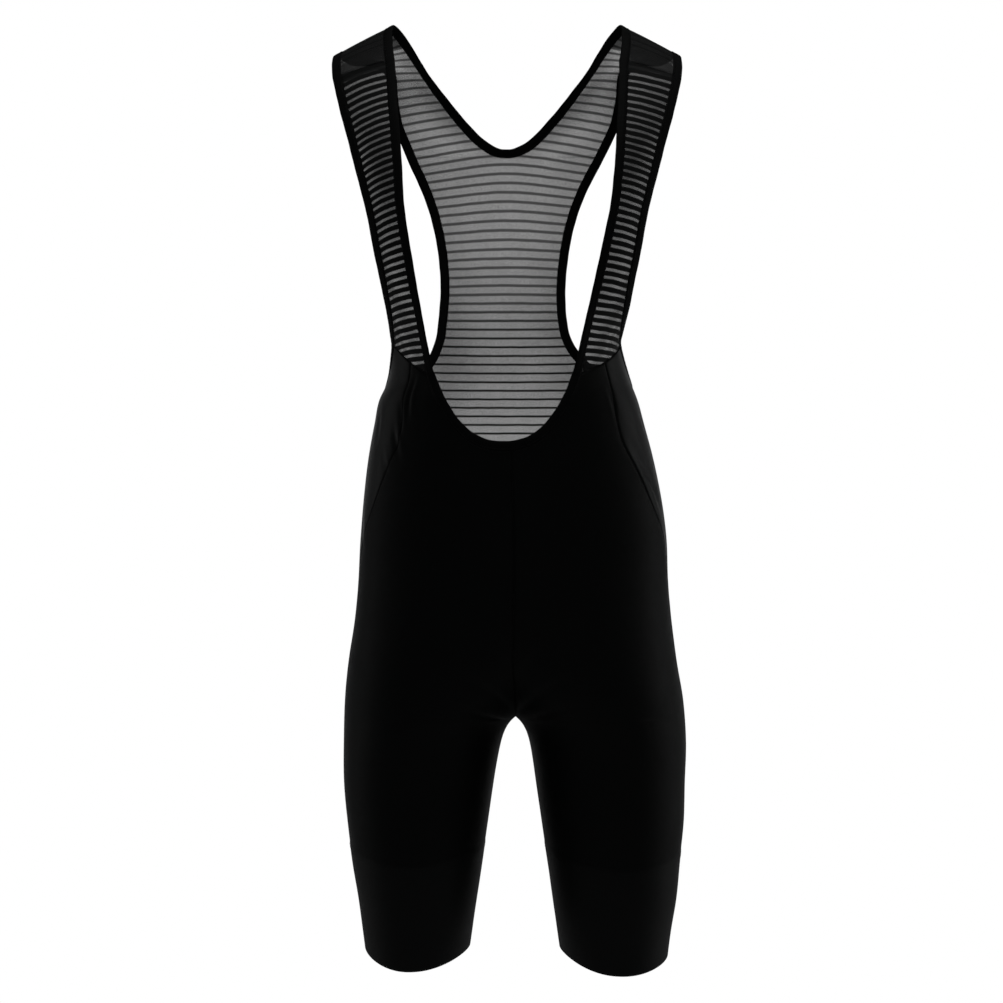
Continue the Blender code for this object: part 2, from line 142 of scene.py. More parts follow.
def softbox(name, azimuth, distance, height, width, tall, power):
    """A soft box aimed at the shorts' middle. Azimuth 0 is in front and 90 on the wearer's left."""
    turn = np.radians(azimuth)
    place = MIDDLE + np.array([np.sin(turn) * distance, -np.cos(turn) * distance, height])
    light = bpy.data.lights.new(name, "AREA")
    light.shape, light.size, light.size_y, light.energy = "RECTANGLE", width, tall, power
    box = bpy.data.objects.new(name, light)
    box.location = place
    box.rotation_euler = Vector(MIDDLE - place).to_track_quat("-Z", "Y").to_euler()
    box.visible_camera = False
    bpy.context.scene.collection.objects.link(box)


softbox("box_left", 112, 2.4, 0.3, 0.7, 2.0, 3.6)
softbox("box_right", -112, 2.4, 0.3, 0.7, 2.0, 2.0)
softbox("box_behind_left", 160, 2.8, 0.1, 1.0, 2.4, 2.8)
softbox("box_behind_right", -160, 2.8, 0.1, 1.0, 2.4, 2.4)
softbox("box_above", 20, 0.7, 2.2, 1.4, 1.4, 8.0)

corner = np.array([[-1, -1], [1, -1], [1, 1], [-1, 1]]) * FLOOR_HALF_WIDTH
floor_mesh = bpy.data.meshes.new("floor")
floor_mesh.from_pydata(np.column_stack([corner, np.full(4, FLOOR_HEIGHT)]).tolist(), [], [(0, 1, 2, 3)])
floor = bpy.data.objects.new("floor", floor_mesh)
bpy.context.scene.collection.objects.link(floor)
white, wire = new_material("white_floor")
glow = wire.node("ShaderNodeEmission", None, {"Color": (1, 1, 1, 1), "Strength": 1.0})
matt = wire.node("ShaderNodeBsdfDiffuse", None, {"Color": (0.8, 0.8, 0.8, 1)})
to_camera = wire.node("ShaderNodeLightPath")
surface(wire, wire.node("ShaderNodeMixShader", None, {"Fac": to_camera, 1: matt, 2: glow}))
floor_mesh.materials.append(white)

room = bpy.data.worlds.new("room")
bpy.context.scene.world = room
room.use_nodes = True
room.node_tree.nodes.clear()
wire = Wire(room.node_tree)
dim = wire.node("ShaderNodeBackground", None, {"Color": (0.95, 0.98, 1.0, 1), "Strength": ROOM_LIGHT})
bright = wire.node("ShaderNodeBackground", None, {"Color": (1, 1, 1, 1), "Strength": 1.0})
to_camera = wire.node("ShaderNodeLightPath")
seen = wire.node("ShaderNodeMixShader", None, {"Fac": to_camera, 1: dim, 2: bright})
wire.node("ShaderNodeOutputWorld", None, {"Surface": seen})
print("floor at", FLOOR_HEIGHT)

# %% [markdown]
# The cloth's form. Knit that is worn tight has the wearer's shape, so the body is a stack of rounded
# sections, each with its own width and depths, joined by smooth curves. Towards the crotch each half
# section closes into a leg's ring. One function gives a point for how far round the half the thread lies
# (0 centre front or inseam, 0.5 the side, 1 centre back) and for its height, so neighbouring panels agree
# along their seams. The tables are the solids' own, in metres.

# %% Sections of the body
LEFT, RIGHT = 1, -1
SEAM_LAP = 0.00012
SEAM_LAP_ROUND = 0.00030
CROTCH_HEIGHT = -0.684
CROTCH_FRONT_RISE, CROTCH_BACK_RISE, CROTCH_FULLNESS = 0.130, 0.160, 1.7
TORSO_SQUARENESS, LEG_SQUARENESS = 2.3, 2.1
INSEAM_OPENING, INSEAM_HEIGHT, INSEAM_SPREAD = 0.0125, 0.011, 0.145


def table(names, *rows):
    """Named columns from rows of numbers."""
    return dict(zip(names.split(), np.array(rows, float).T))


BODY = table(
    "z       mid     wide_right wide_left front   side    back",
    (-0.100, -0.0015, 0.172, 0.172, -0.095, -0.005, 0.0890),
    (-0.150, -0.0030, 0.160, 0.160, -0.105, -0.005, 0.0990),
    (-0.200, -0.0035, 0.147, 0.147, -0.109, -0.005, 0.1035),
    (-0.250, -0.0040, 0.132, 0.132, -0.111, -0.005, 0.1010),
    (-0.300, -0.0035, 0.1180, 0.1180, -0.111, -0.005, 0.0950),
    (-0.320, -0.0005, 0.1185, 0.1185, -0.111, -0.005, 0.0918),
    (-0.345, 0.0015, 0.1230, 0.1240, -0.112, -0.005, 0.0880),
    (-0.362, 0.0015, 0.1310, 0.1305, -0.113, -0.005, 0.0860),
    (-0.387, 0.0025, 0.1370, 0.1365, -0.113, -0.004, 0.0840),
    (-0.423, 0.0040, 0.1448, 0.1449, -0.113, -0.003, 0.0850),
    (-0.464, 0.0056, 0.1514, 0.1515, -0.113, -0.002, 0.0910),
    (-0.505, 0.0066, 0.1555, 0.1556, -0.113, 0.000, 0.1010),
    (-0.546, 0.0066, 0.1576, 0.1576, -0.112, 0.003, 0.1120),
    (-0.586, 0.0061, 0.1611, 0.1612, -0.110, 0.005, 0.1200),
    (-0.627, 0.0058, 0.1668, 0.1668, -0.106, 0.007, 0.1240),
    (-0.668, 0.0085, 0.1735, 0.1712, -0.100, 0.009, 0.1200),
    (-0.709, 0.0085, 0.1748, 0.1737, -0.092, 0.008, 0.1080),
    (-0.750, 0.0080, 0.1737, 0.1730, -0.086, 0.006, 0.0970),
    (-0.790, 0.0080, 0.1702, 0.1720, -0.083, 0.004, 0.0900),
    (-0.831, 0.0080, 0.1651, 0.1674, -0.080, 0.002, 0.0840),
    (-0.872, 0.0080, 0.1579, 0.1634, -0.076, 0.001, 0.0780),
    (-0.903, 0.0080, 0.1539, 0.1583, -0.073, 0.001, 0.0750),
    (-0.945, 0.0080, 0.1490, 0.1530, -0.070, 0.001, 0.0720),
)


def through_rows(at, knots, values):
    """A smooth curve through rows of values: cubic pieces, each end's slope taken from its neighbours."""
    knots, values = np.asarray(knots, float), np.asarray(values, float)
    if knots[0] > knots[-1]:
        knots, values = knots[::-1], values[::-1]
    slopes = np.gradient(values, knots, axis=0, edge_order=2)
    at = np.clip(at, knots[0], knots[-1])
    row = np.clip(np.searchsorted(knots, at, side="right") - 1, 0, len(knots) - 2)
    span = knots[row + 1] - knots[row]
    t = (at - knots[row]) / span
    shape = np.shape(t) + (1,) * (values.ndim - 1)
    t, span = np.reshape(t, shape), np.reshape(span, shape)
    ends = values[row] * (1 + 2 * t) * (1 - t) ** 2 + values[row + 1] * (3 - 2 * t) * t**2
    turns = slopes[row] * t * (1 - t) ** 2 - slopes[row + 1] * (1 - t) * t**2
    return ends + span * turns


def lerp(a, b, t):
    """From a to b by the share t."""
    return a + (b - a) * t


def power(value, exponent):
    """A power that keeps its value's sign."""
    return np.sign(value) * np.abs(value) ** exponent


def body_row(side, z):
    """The body's middle, width and depths at each height, for one side."""
    wide = "wide_left" if side == LEFT else "wide_right"
    return [through_rows(z, BODY["z"], BODY[name]) for name in ("mid", wide, "front", "side", "back")]


def body(side, u, z):
    """A point of the body's cloth.

    Each level is an arc of a rounded square: x is the centre plus the half width times the cosine to the
    power 2/squareness, and y the depth times the sine to that power. The arc ends where x is zero. As
    the crotch nears, the centre moves out to the leg's, so that the arc closes into a ring.
    """
    u, z = np.broadcast_arrays(np.asarray(u, float), np.asarray(z, float))
    mid, wide, front, side_y, back = body_row(side, z)
    below, above = np.maximum(CROTCH_HEIGHT - z, 0), np.maximum(z - CROTCH_HEIGHT, 0)
    rise = np.where(u < 0.5, CROTCH_FRONT_RISE, CROTCH_BACK_RISE)
    closed = np.clip(1 - above / rise, 0, 1) ** CROTCH_FULLNESS
    inner = INSEAM_OPENING * (1 - np.exp(-below / INSEAM_HEIGHT)) + INSEAM_SPREAD * below
    squareness = lerp(TORSO_SQUARENESS, LEG_SQUARENESS, closed)
    centre = wide * closed / (1 + closed) + inner / 2
    angle = np.arccos(-(closed ** (squareness / 2))) * (2 * u - 1)
    x = centre + (wide - centre) * power(np.cos(angle), 2 / squareness)
    y = side_y + np.where(u < 0.5, side_y - front, back - side_y) * power(np.sin(angle), 2 / squareness)
    return np.stack([mid + side * (x - SEAM_LAP / 2), y, z], axis=-1)


def u_at(side, x, z, behind=False):
    """The inverse of the trunk's arc: how far round a distance from the middle lies, in front or behind."""
    mid, wide, *_ = body_row(side, z)
    share = np.clip((side * x - side * mid) / wide, 0, 1)
    turn = np.arccos(share ** (TORSO_SQUARENESS / 2)) / np.pi
    return 0.5 + turn if behind else 0.5 - turn


print("widest", round(float(BODY["wide_left"].max() * 2), 3), "m at", BODY["z"][BODY["wide_left"].argmax()])

# %% [markdown]
# The panels' outlines. The front, the side and the back panel of each half meet in two long seams, and
# their top edges run from the low neckline, under the arm, to the middle of the back. The hem hangs
# lowest in front, where the thigh is longest.

# %% Seams, neckline and hem
HEM = {  # height, then how much the sine, its square, the cosine, their product and the cosine cubed add
    LEFT: (-0.9217, 0.0057, -0.0105, -0.0025, 0.0015, -0.0010),
    RIGHT: (-0.9168, 0.0055, -0.0110, -0.0024, 0.0024, 0.0018),
}
HEM_BACK_RISE = 0.012
HEM_AROUND = -0.92  # the height at which a hem point's place round the leg is read
SCOOP_MIDDLE, SCOOP_BOTTOM, SCOOP_RISE, SCOOP_HALF_WIDTH = -0.0036, -0.4155, 0.084, 0.0768
SCOOP_FLATNESS, SCOOP_STEEPNESS = 2.4, 1.3  # how flat its bottom is, and how upright its ends
STRAP_INNER, STRAP_OUTER = (0.0750, -0.3370), (0.1130, -0.3095)
BACK_SEAM_DROP = 0.098

FRONT_SIDE_SEAM = table(
    "z       u",
    (-0.320, 0.285),
    (-0.350, 0.262),
    (-0.389, 0.236),
    (-0.405, 0.250),
    (-0.429, 0.315),
    (-0.464, 0.391),
    (-0.495, 0.455),
    (-0.530, 0.500),
    (-0.600, 0.520),
    (-0.700, 0.520),
    (-0.945, 0.500),
)
SIDE_BACK_SEAM = table(
    "z       u",
    (-0.357, 0.620),
    (-0.420, 0.665),
    (-0.550, 0.700),
    (-0.684, 0.700),
    (-0.800, 0.665),
    (-0.945, 0.660),
)
UNDERARM = table(
    "u      z",
    (0.470, -0.3405),
    (0.520, -0.3518),
    (0.570, -0.3560),
    (0.620, -0.3570),
)


def scoop_height(x):
    """The neckline: bottom + rise x (1 - (1 - share across^flatness)^(1/steepness))."""
    share = np.clip(np.abs(x - SCOOP_MIDDLE) / SCOOP_HALF_WIDTH, 0, 1)
    return SCOOP_BOTTOM + SCOOP_RISE * (1 - (1 - share**SCOOP_FLATNESS) ** (1 / SCOOP_STEEPNESS))


def corners(side):
    """u at the strap's inner corner, the panel seam, the strap's outer corner and the back corner."""
    inner = u_at(side, SCOOP_MIDDLE + side * STRAP_INNER[0], STRAP_INNER[1])
    outer = u_at(side, side * STRAP_OUTER[0], STRAP_OUTER[1])
    return float(inner), FRONT_SIDE_SEAM["u"][0], float(outer), UNDERARM["u"][-1]


def top_edge(side):
    """u and z along the whole top of the lycra, from centre front to centre back."""
    inner, _, outer, back = corners(side)
    mid = body_row(side, SCOOP_BOTTOM)[0]
    x = np.linspace(mid, SCOOP_MIDDLE + side * STRAP_INNER[0], 160)
    z = scoop_height(x)
    scoop_u = u_at(side, x, z)
    scoop_u = (scoop_u - scoop_u[0]) * inner / (scoop_u[-1] - scoop_u[0])
    seam_u = np.array([lerp(inner, outer, 0.5), outer])
    seam_z = np.array([lerp(z[-1], STRAP_OUTER[1], 0.5), STRAP_OUTER[1]])
    arm_u = np.linspace(outer, back, 60)[1:]
    arm_z = through_rows(arm_u, np.append(outer, UNDERARM["u"]), np.append(seam_z[-1], UNDERARM["z"]))
    back_u = np.linspace(back, 1, 60)[1:]
    share = (back_u - back) / (1 - back)
    back_z = UNDERARM["z"][-1] - BACK_SEAM_DROP * (1 - (1 - share) ** 2)
    return np.concatenate([scoop_u, seam_u, arm_u, back_u]), np.concatenate([z, seam_z, arm_z, back_z])


def hem_height(side, u):
    """A height plus shares of sine, sine^2, cosine, cosine x sine and cosine^3, raised behind.

    The sine is -1 at the front of the leg and 1 at its back, and the cosine is 1 at its outer side.
    """
    cosine, sine = np.cos(2 * np.pi * (u - 0.5)), np.sin(2 * np.pi * (u - 0.5))
    terms = (1.0, sine, sine**2, cosine, cosine * sine, cosine**3)
    height = sum(share * term for share, term in zip(HEM[side], terms))
    return height + HEM_BACK_RISE * np.maximum(sine, 0) ** 2


def seam_line(rows, offset):
    """A seam as a function of height, moved round the body by half of its lap."""
    return lambda z: through_rows(z, rows["z"], rows["u"]) + offset


def centre_line(u):
    """The centre front, the centre back or the inseam, as a function of height."""
    return lambda z: np.full(np.shape(z), float(u))


print("hem's lowest", round(float(hem_height(LEFT, np.linspace(0, 1, 99)).min()), 4))

# %% [markdown]
# Creases. Tight knit shows few: short pulls beside the armhole where the strap tugs the side panel, three
# fine ones on the wearer's left hip, fans at the crotch, and shallow folds under the seat and behind the
# thighs. Simulation would scatter them anywhere, so each is listed as a trough with a soft ridge beside
# it. No two have the same length, depth, lean or spacing.

# %% Creases in the lycra
GIRTH_HALF = 0.43
UNEVENNESS = 0.00035
CREASES = table(
    "side    u      z       lean  length width   depth    bend",
    (RIGHT, 0.255, -0.3620, 84, 0.052, 0.0036, 0.00130, 2.0),
    (RIGHT, 0.278, -0.3800, 76, 0.046, 0.0030, 0.00100, -3.0),
    (RIGHT, 0.283, -0.4080, 60, 0.050, 0.0040, 0.00140, 3.0),
    (RIGHT, 0.325, -0.4240, 52, 0.036, 0.0028, 0.00080, 2.0),
    (RIGHT, 0.395, -0.3900, 70, 0.048, 0.0060, 0.00090, -2.0),
    (RIGHT, 0.440, -0.4950, 68, 0.060, 0.0070, 0.00080, 1.5),
    (LEFT, 0.270, -0.3700, 96, 0.044, 0.0034, 0.00100, -2.0),
    (LEFT, 0.345, -0.4300, 128, 0.085, 0.0080, 0.00170, -1.5),
    (LEFT, 0.395, -0.4560, 122, 0.070, 0.0060, 0.00120, 2.0),
    (LEFT, 0.455, -0.5280, 100, 0.090, 0.0090, 0.00110, 1.0),
    (LEFT, 0.430, -0.3880, 112, 0.040, 0.0050, 0.00080, -2.0),
    (LEFT, 0.452, -0.6030, 12, 0.030, 0.0026, 0.00075, 2.0),
    (LEFT, 0.447, -0.6150, 15, 0.038, 0.0024, 0.00090, 2.5),
    (LEFT, 0.450, -0.6270, 17, 0.034, 0.0022, 0.00080, 1.5),
    (LEFT, 0.457, -0.6390, 11, 0.022, 0.0024, 0.00055, 1.0),
    (RIGHT, 0.455, -0.6350, -9, 0.024, 0.0026, 0.00045, 1.0),
    (RIGHT, 0.060, -0.6550, 42, 0.070, 0.0060, 0.00120, -2.0),
    (RIGHT, 0.100, -0.6800, 26, 0.060, 0.0055, 0.00090, -2.0),
    (RIGHT, 0.045, -0.6150, 58, 0.055, 0.0060, 0.00070, -1.0),
    (LEFT, 0.056, -0.6600, 40, 0.080, 0.0065, 0.00130, -2.0),
    (LEFT, 0.110, -0.6740, 22, 0.055, 0.0050, 0.00080, -1.0),
    (LEFT, 0.040, -0.6230, 61, 0.048, 0.0055, 0.00060, -1.0),
    (RIGHT, 0.900, -0.6860, -20, 0.110, 0.0080, 0.00190, 2.0),
    (RIGHT, 0.860, -0.7120, -13, 0.085, 0.0065, 0.00120, 2.5),
    (RIGHT, 0.930, -0.6600, -38, 0.070, 0.0060, 0.00100, 1.0),
    (RIGHT, 0.790, -0.7380, -7, 0.060, 0.0060, 0.00070, 1.5),
    (LEFT, 0.905, -0.6840, -22, 0.098, 0.0075, 0.00170, 2.0),
    (LEFT, 0.850, -0.7080, -16, 0.092, 0.0060, 0.00130, 2.0),
    (LEFT, 0.935, -0.6550, -41, 0.064, 0.0055, 0.00090, 1.5),
    (LEFT, 0.800, -0.7420, -5, 0.050, 0.0060, 0.00060, 1.5),
    (RIGHT, 0.720, -0.4020, 64, 0.055, 0.0070, 0.00100, 1.5),
    (RIGHT, 0.860, -0.4900, 14, 0.090, 0.0100, 0.00090, 1.0),
    (RIGHT, 0.900, -0.5120, 8, 0.066, 0.0080, 0.00070, 1.0),
    (LEFT, 0.715, -0.3980, 58, 0.062, 0.0065, 0.00110, 1.5),
    (LEFT, 0.870, -0.4860, 10, 0.080, 0.0095, 0.00080, 1.0),
    (LEFT, 0.910, -0.5150, 15, 0.058, 0.0080, 0.00070, 1.0),
    (RIGHT, 0.660, -0.8300, 8, 0.060, 0.0070, 0.00060, 1.0),
    (LEFT, 0.640, -0.8180, 13, 0.072, 0.0075, 0.00070, 1.0),
    (LEFT, 0.880, -0.8100, -12, 0.066, 0.0070, 0.00060, 1.0),
    (RIGHT, 0.890, -0.8240, -9, 0.056, 0.0070, 0.00060, 1.0),
)


def creased(side, u, z):
    """How far the cloth moves outward, in metres: the sum over the creases of

    depth x (half a bell one and a half widths uphill, less a bell on the crease) x (1 - (along/half
    length)^2)^2, where a crease's bell is e to the minus square of (across / width). Slow sines add the
    unevenness of cloth on a body.
    """
    slow = UNEVENNESS * np.sin(23 * z + 9 * u + side) * np.sin(17 * u - 31 * z + 2 * side)
    mine = CREASES["side"] == side
    shape = (-1,) + (1,) * np.ndim(u)
    row = {name: column[mine].reshape(shape) for name, column in CREASES.items()}
    over, up = (u - row["u"]) * GIRTH_HALF, z - row["z"]
    lean = np.radians(row["lean"])
    along = over * np.cos(lean) + up * np.sin(lean)
    across = -over * np.sin(lean) + up * np.cos(lean) - row["bend"] * along**2
    reach = np.clip(1 - (along / (row["length"] / 2)) ** 2, 0, 1) ** 2
    trough = np.exp(-((across / row["width"]) ** 2))
    ridge = 0.5 * np.exp(-((across / row["width"] - 1.5) ** 2))
    return slow + np.sum(row["depth"] * reach * (ridge - trough), axis=0)


print(len(CREASES["u"]), "creases, deepest", CREASES["depth"].max() * 1000, "mm")

# %% [markdown]
# Three panels make each half of the lycra body. A panel is a grid of points: its columns start along the
# top edge and keep their share of the way between the panel's two seams, and its rows run down to the
# crotch and on to the hem. The grid is then lifted by the creases, dips a little where it is sewn, and
# steps out by a fraction of a millimetre where the leg's wide grip band begins.

# %% Lycra panels
TORSO_ROWS, LEG_ROWS = 150, 96
SCOOP_COLUMNS, STRAP_FRONT_COLUMNS, STRAP_SIDE_COLUMNS, UNDERARM_COLUMNS, SEAT_COLUMNS = 72, 16, 14, 34, 60
TORSO_CROWDING, LEG_CROWDING = 1.25, 1.15  # rows lie closer together towards the crotch
SEAM_DIP, SEAM_DIP_WIDTH = 0.00045, 0.0020
BAND_HEIGHT, BAND_STEP, BAND_EDGE = 0.106, 0.00035, 0.0016
TOP_EASE = 0.008


def run_along(grid, axis):
    """Distance along a grid's rows (axis 1) or columns (axis 0), in metres."""
    step = np.linalg.norm(np.diff(grid, axis=axis), axis=-1)
    return np.insert(np.cumsum(step, axis=axis), 0, 0, axis=axis)


def outward(grid, side):
    """The unit normal: down the grid crossed with across it, which points out of the left half."""
    normal = side * np.cross(np.gradient(grid, axis=0), np.gradient(grid, axis=1))
    return normal / np.maximum(np.linalg.norm(normal, axis=-1, keepdims=True), 1e-12)


def spread(*stretches):
    """Numbers along joined stretches, each given as start, end and steps."""
    pieces = [np.linspace(start, end, steps + 1)[:-1] for start, end, steps in stretches]
    return np.append(np.concatenate(pieces), stretches[-1][1])


def panel(side, top_u, seams, shift):
    """A panel, and where its band is. Each row's u is lerp(seam, seam, share), eased into the top edge."""
    edge_u, edge_z = top_edge(side)
    top_z = np.interp(top_u, edge_u, edge_z)
    share = (top_u - top_u[0]) / (top_u[-1] - top_u[0])
    part = (1 - (1 - np.linspace(0, 1, TORSO_ROWS + 1)) ** TORSO_CROWDING)[:, None]
    z = lerp(top_z, CROTCH_HEIGHT, part)
    u = lerp(lerp(seams[0](z), seams[1](z), share), top_u, (1 - part) ** 2)
    part = (np.linspace(0, 1, LEG_ROWS + 1)[1:] ** LEG_CROWDING)[:, None]
    bottom = hem_height(side, lerp(seams[0](HEM_AROUND), seams[1](HEM_AROUND), share))
    leg_z = lerp(CROTCH_HEIGHT, bottom, part)
    z = np.concatenate([z, leg_z])
    u = np.concatenate([u, lerp(seams[0](leg_z), seams[1](leg_z), share)])
    grid = body(side, u, z) + np.array([0, shift, 0])
    across = run_along(grid, 1)
    edge = np.minimum(across, across[:, -1:] - across)
    dip = SEAM_DIP * np.exp(-((edge / SEAM_DIP_WIDTH) ** 2))
    below = np.clip((hem_height(side, u) + BAND_HEIGHT - z) / BAND_EDGE + 0.5, 0, 1)
    still_edge = np.minimum(run_along(grid, 0) / TOP_EASE, 1)
    lift = creased(side, u, z) * still_edge + BAND_STEP * below * below * (3 - 2 * below) - dip
    meets_twin = np.where((u <= 0) | (u >= 1), 0.0, 1.0)
    return grid + outward(grid, side) * (lift * meets_twin)[..., None], below


half, bands = {}, {}
for side in (LEFT, RIGHT):
    inner, seam_u, outer, back = corners(side)
    front_u = spread((0, inner, SCOOP_COLUMNS), (inner, seam_u + SEAM_LAP_ROUND, STRAP_FRONT_COLUMNS))
    side_u = spread(
        (seam_u - SEAM_LAP_ROUND, outer, STRAP_SIDE_COLUMNS), (outer, back + SEAM_LAP_ROUND, UNDERARM_COLUMNS)
    )
    back_u = spread((back - SEAM_LAP_ROUND, 1, SEAT_COLUMNS))
    to_front = [seam_line(FRONT_SIDE_SEAM, lap) for lap in (SEAM_LAP_ROUND, -SEAM_LAP_ROUND)]
    to_back = [seam_line(SIDE_BACK_SEAM, lap) for lap in (SEAM_LAP_ROUND, -SEAM_LAP_ROUND)]
    cut = {
        "front": panel(side, front_u, (centre_line(0), to_front[0]), SEAM_LAP),
        "side": panel(side, side_u, (to_front[1], to_back[0]), 0),
        "back": panel(side, back_u, (to_back[1], centre_line(1)), -SEAM_LAP),
    }
    half[side] = {part: grid for part, (grid, _) in cut.items()}
    bands[side] = {part: below for part, (_, below) in cut.items()}
print({name: grid.shape[:2] for name, grid in half[LEFT].items()})

# %% [markdown]
# The straps and the back are striped mesh. Each strap is a ribbon from the lycra up to the shoulder seam,
# given as a stack of short sections with their two edges. The back is one Y-shaped piece: an arm over
# each shoulder, and below the neck a racer back that narrows between the shoulder blades. A section is
# a straight line pushed outward by a parabola, as cloth bows over a shoulder.

# %% Straps and racer back
STRAP_ROWS, ARM_ROWS, YOKE_ROWS, BACK_COLUMNS = 170, 100, 150, 48
SHOULDER_AXIS = (0.10, -0.06)  # x and z of the line that straps and arms bow away from

STRAP = table(
    "in_x    in_y     in_z     out_x   out_y    out_z    in_lean  bow",
    (0.1215, -0.0410, -0.0235, 0.1675, -0.0340, -0.0355, 0.0000, 0.0010),
    (0.1190, -0.0655, -0.0630, 0.1605, -0.0525, -0.0667, 0.0005, 0.0015),
    (0.1155, -0.0864, -0.1050, 0.1505, -0.0696, -0.1055, 0.0010, 0.0020),
    (0.1125, -0.0980, -0.1420, 0.1416, -0.0811, -0.1418, 0.0010, 0.0022),
    (0.1090, -0.1035, -0.1778, 0.1330, -0.0876, -0.1772, 0.0000, 0.0022),
    (0.1025, -0.1053, -0.2132, 0.1265, -0.0887, -0.2130, -0.0010, 0.0022),
    (0.0955, -0.1030, -0.2484, 0.1199, -0.0838, -0.2482, -0.0018, 0.0025),
    (0.0875, -0.0985, -0.2830, 0.1150, -0.0680, -0.2800, -0.0026, 0.0030),
)
ARM = table(
    "in_x    in_y     in_z     out_x   out_y    out_z    out_lean bow",
    (0.1215, -0.0410, -0.0232, 0.1675, -0.0340, -0.0352, 0.0000, 0.0010),
    (0.1245, -0.0230, -0.0045, 0.1690, -0.0190, -0.0180, 0.0000, 0.0010),
    (0.1240, 0.0010, 0.0160, 0.1670, 0.0010, -0.0065, 0.0000, 0.0005),
    (0.1140, 0.0150, 0.0090, 0.1535, 0.0175, -0.0115, 0.0000, 0.0015),
    (0.1035, 0.0275, -0.0035, 0.1331, 0.0340, -0.0105, 0.0000, 0.0025),
    (0.0875, 0.0490, -0.0256, 0.1168, 0.0515, -0.0210, 0.0000, 0.0030),
    (0.0707, 0.0660, -0.0477, 0.1143, 0.0655, -0.0450, 0.0000, 0.0040),
    (0.0535, 0.0765, -0.0685, 0.1098, 0.0745, -0.0692, -0.0005, 0.0045),
    (0.0340, 0.0840, -0.0890, 0.0998, 0.0790, -0.0925, -0.0010, 0.0040),
    (0.0160, 0.0875, -0.1008, 0.0960, 0.0808, -0.1012, -0.0015, 0.0030),
)
YOKE = table(
    "in_z    out_x   out_z",
    (-0.1035, 0.0924, -0.1088),
    (-0.1350, 0.0797, -0.1340),
    (-0.1700, 0.0676, -0.1670),
    (-0.2050, 0.0600, -0.2050),
    (-0.2400, 0.0572, -0.2400),
    (-0.2750, 0.0588, -0.2740),
    (-0.3120, 0.0648, -0.3030),
    (-0.3540, 0.0810, -0.3280),
    (-0.4020, 0.1050, -0.3470),
)


def sections(rows, side, t):
    """The ribbon's sections: lerp(inner edge, outer edge, t) plus outward x bow x 4t(1 - t).

    Outward is square to the section and points away from a line that runs down through the shoulder.
    """
    still = np.zeros(len(rows["bow"]))
    inner, outer = (
        np.stack(
            [side * rows[end + "_x"] + rows.get(end + "_lean", still), rows[end + "_y"], rows[end + "_z"]], -1
        )
        for end in ("in", "out")
    )
    way = (inner + outer) / 2 - np.array([side * SHOULDER_AXIS[0], 0.0, SHOULDER_AXIS[1]])
    across = (outer - inner) / np.linalg.norm(outer - inner, axis=1, keepdims=True)
    way -= across * np.sum(way * across, axis=1, keepdims=True)
    way /= np.linalg.norm(way, axis=1, keepdims=True)
    bow = rows["bow"][:, None, None] * (4 * t * (1 - t))[:, None]
    return lerp(inner[:, None], outer[:, None], t[:, None]) + way[:, None] * bow


def strap_grid(side):
    """A strap from the shoulder seam down to the lycra's top edge, evenly spaced along its middle."""
    inner_u, seam_u, outer_u, _ = corners(side)
    columns = spread((inner_u, seam_u, STRAP_FRONT_COLUMNS), (seam_u, outer_u, STRAP_SIDE_COLUMNS))
    t = (columns - inner_u) / (outer_u - inner_u)
    last = body(side, columns, np.interp(columns, *top_edge(side)))
    rows = np.concatenate([sections(STRAP, side, t), last[None]])
    way = np.append(0, np.cumsum(np.linalg.norm(np.diff(rows[:, len(t) // 2], axis=0), axis=1)))
    return through_rows(np.linspace(0, way[-1], STRAP_ROWS + 1), way, rows)


def back_grid(side):
    """Half of the back piece: its arm from the shoulder seam, then its half of the racer back.

    The arm and the yoke are joined by one curve at the outer edge and by two at the inner one, where the
    neckline turns; between the edges they blend by the square root of the share across.
    """
    columns = np.linspace(0, 1, BACK_COLUMNS + 1)
    rows = [sections(ARM, side, columns)]
    for in_z, out_x, out_z in zip(*YOKE.values()):
        outer_u = u_at(side, body_row(side, out_z)[0] + side * out_x, out_z, behind=True)
        rows.append(body(side, lerp(1.0, outer_u, columns), lerp(in_z, out_z, columns))[None])
    u = lerp(1.0, UNDERARM["u"][-1], columns)
    rows.append(body(side, u, np.interp(u, *top_edge(side)))[None])
    rows = np.concatenate(rows)
    fork, end = len(ARM["bow"]), len(rows) - 1
    at = spread((0, fork, ARM_ROWS), (fork, end, YOKE_ROWS))
    whole = through_rows(at, np.arange(end + 1), rows)
    arm = through_rows(at[:ARM_ROWS], np.arange(fork + 1), rows[: fork + 1])
    yoke = through_rows(at[ARM_ROWS:], np.arange(fork, end + 1), rows[fork:])
    grid = lerp(np.concatenate([arm, yoke]), whole, np.sqrt(columns)[None, :, None])
    grid[ARM_ROWS:, 0, 0] = through_rows(grid[ARM_ROWS:, 0, 2], BODY["z"], BODY["mid"])
    return grid


for side in (LEFT, RIGHT):
    half[side]["strap"] = strap_grid(side)
    half[side]["yoke"] = back_grid(side)
print("strap length", round(float(run_along(half[LEFT]["strap"], 0)[-1].mean()), 3), "m")

# %% [markdown]
# The stripes are knitted into the cloth, so they follow its flat cut and not the view. Each mesh piece
# carries a UV map in metres: U across the cloth, and V down it, where one stripe is one fixed step. On
# the back, V is the height, bent so that the stripes arch a little below the neck, and over the shoulder
# it is the distance walked up the arm. On a strap the lines tilt up towards the neck.

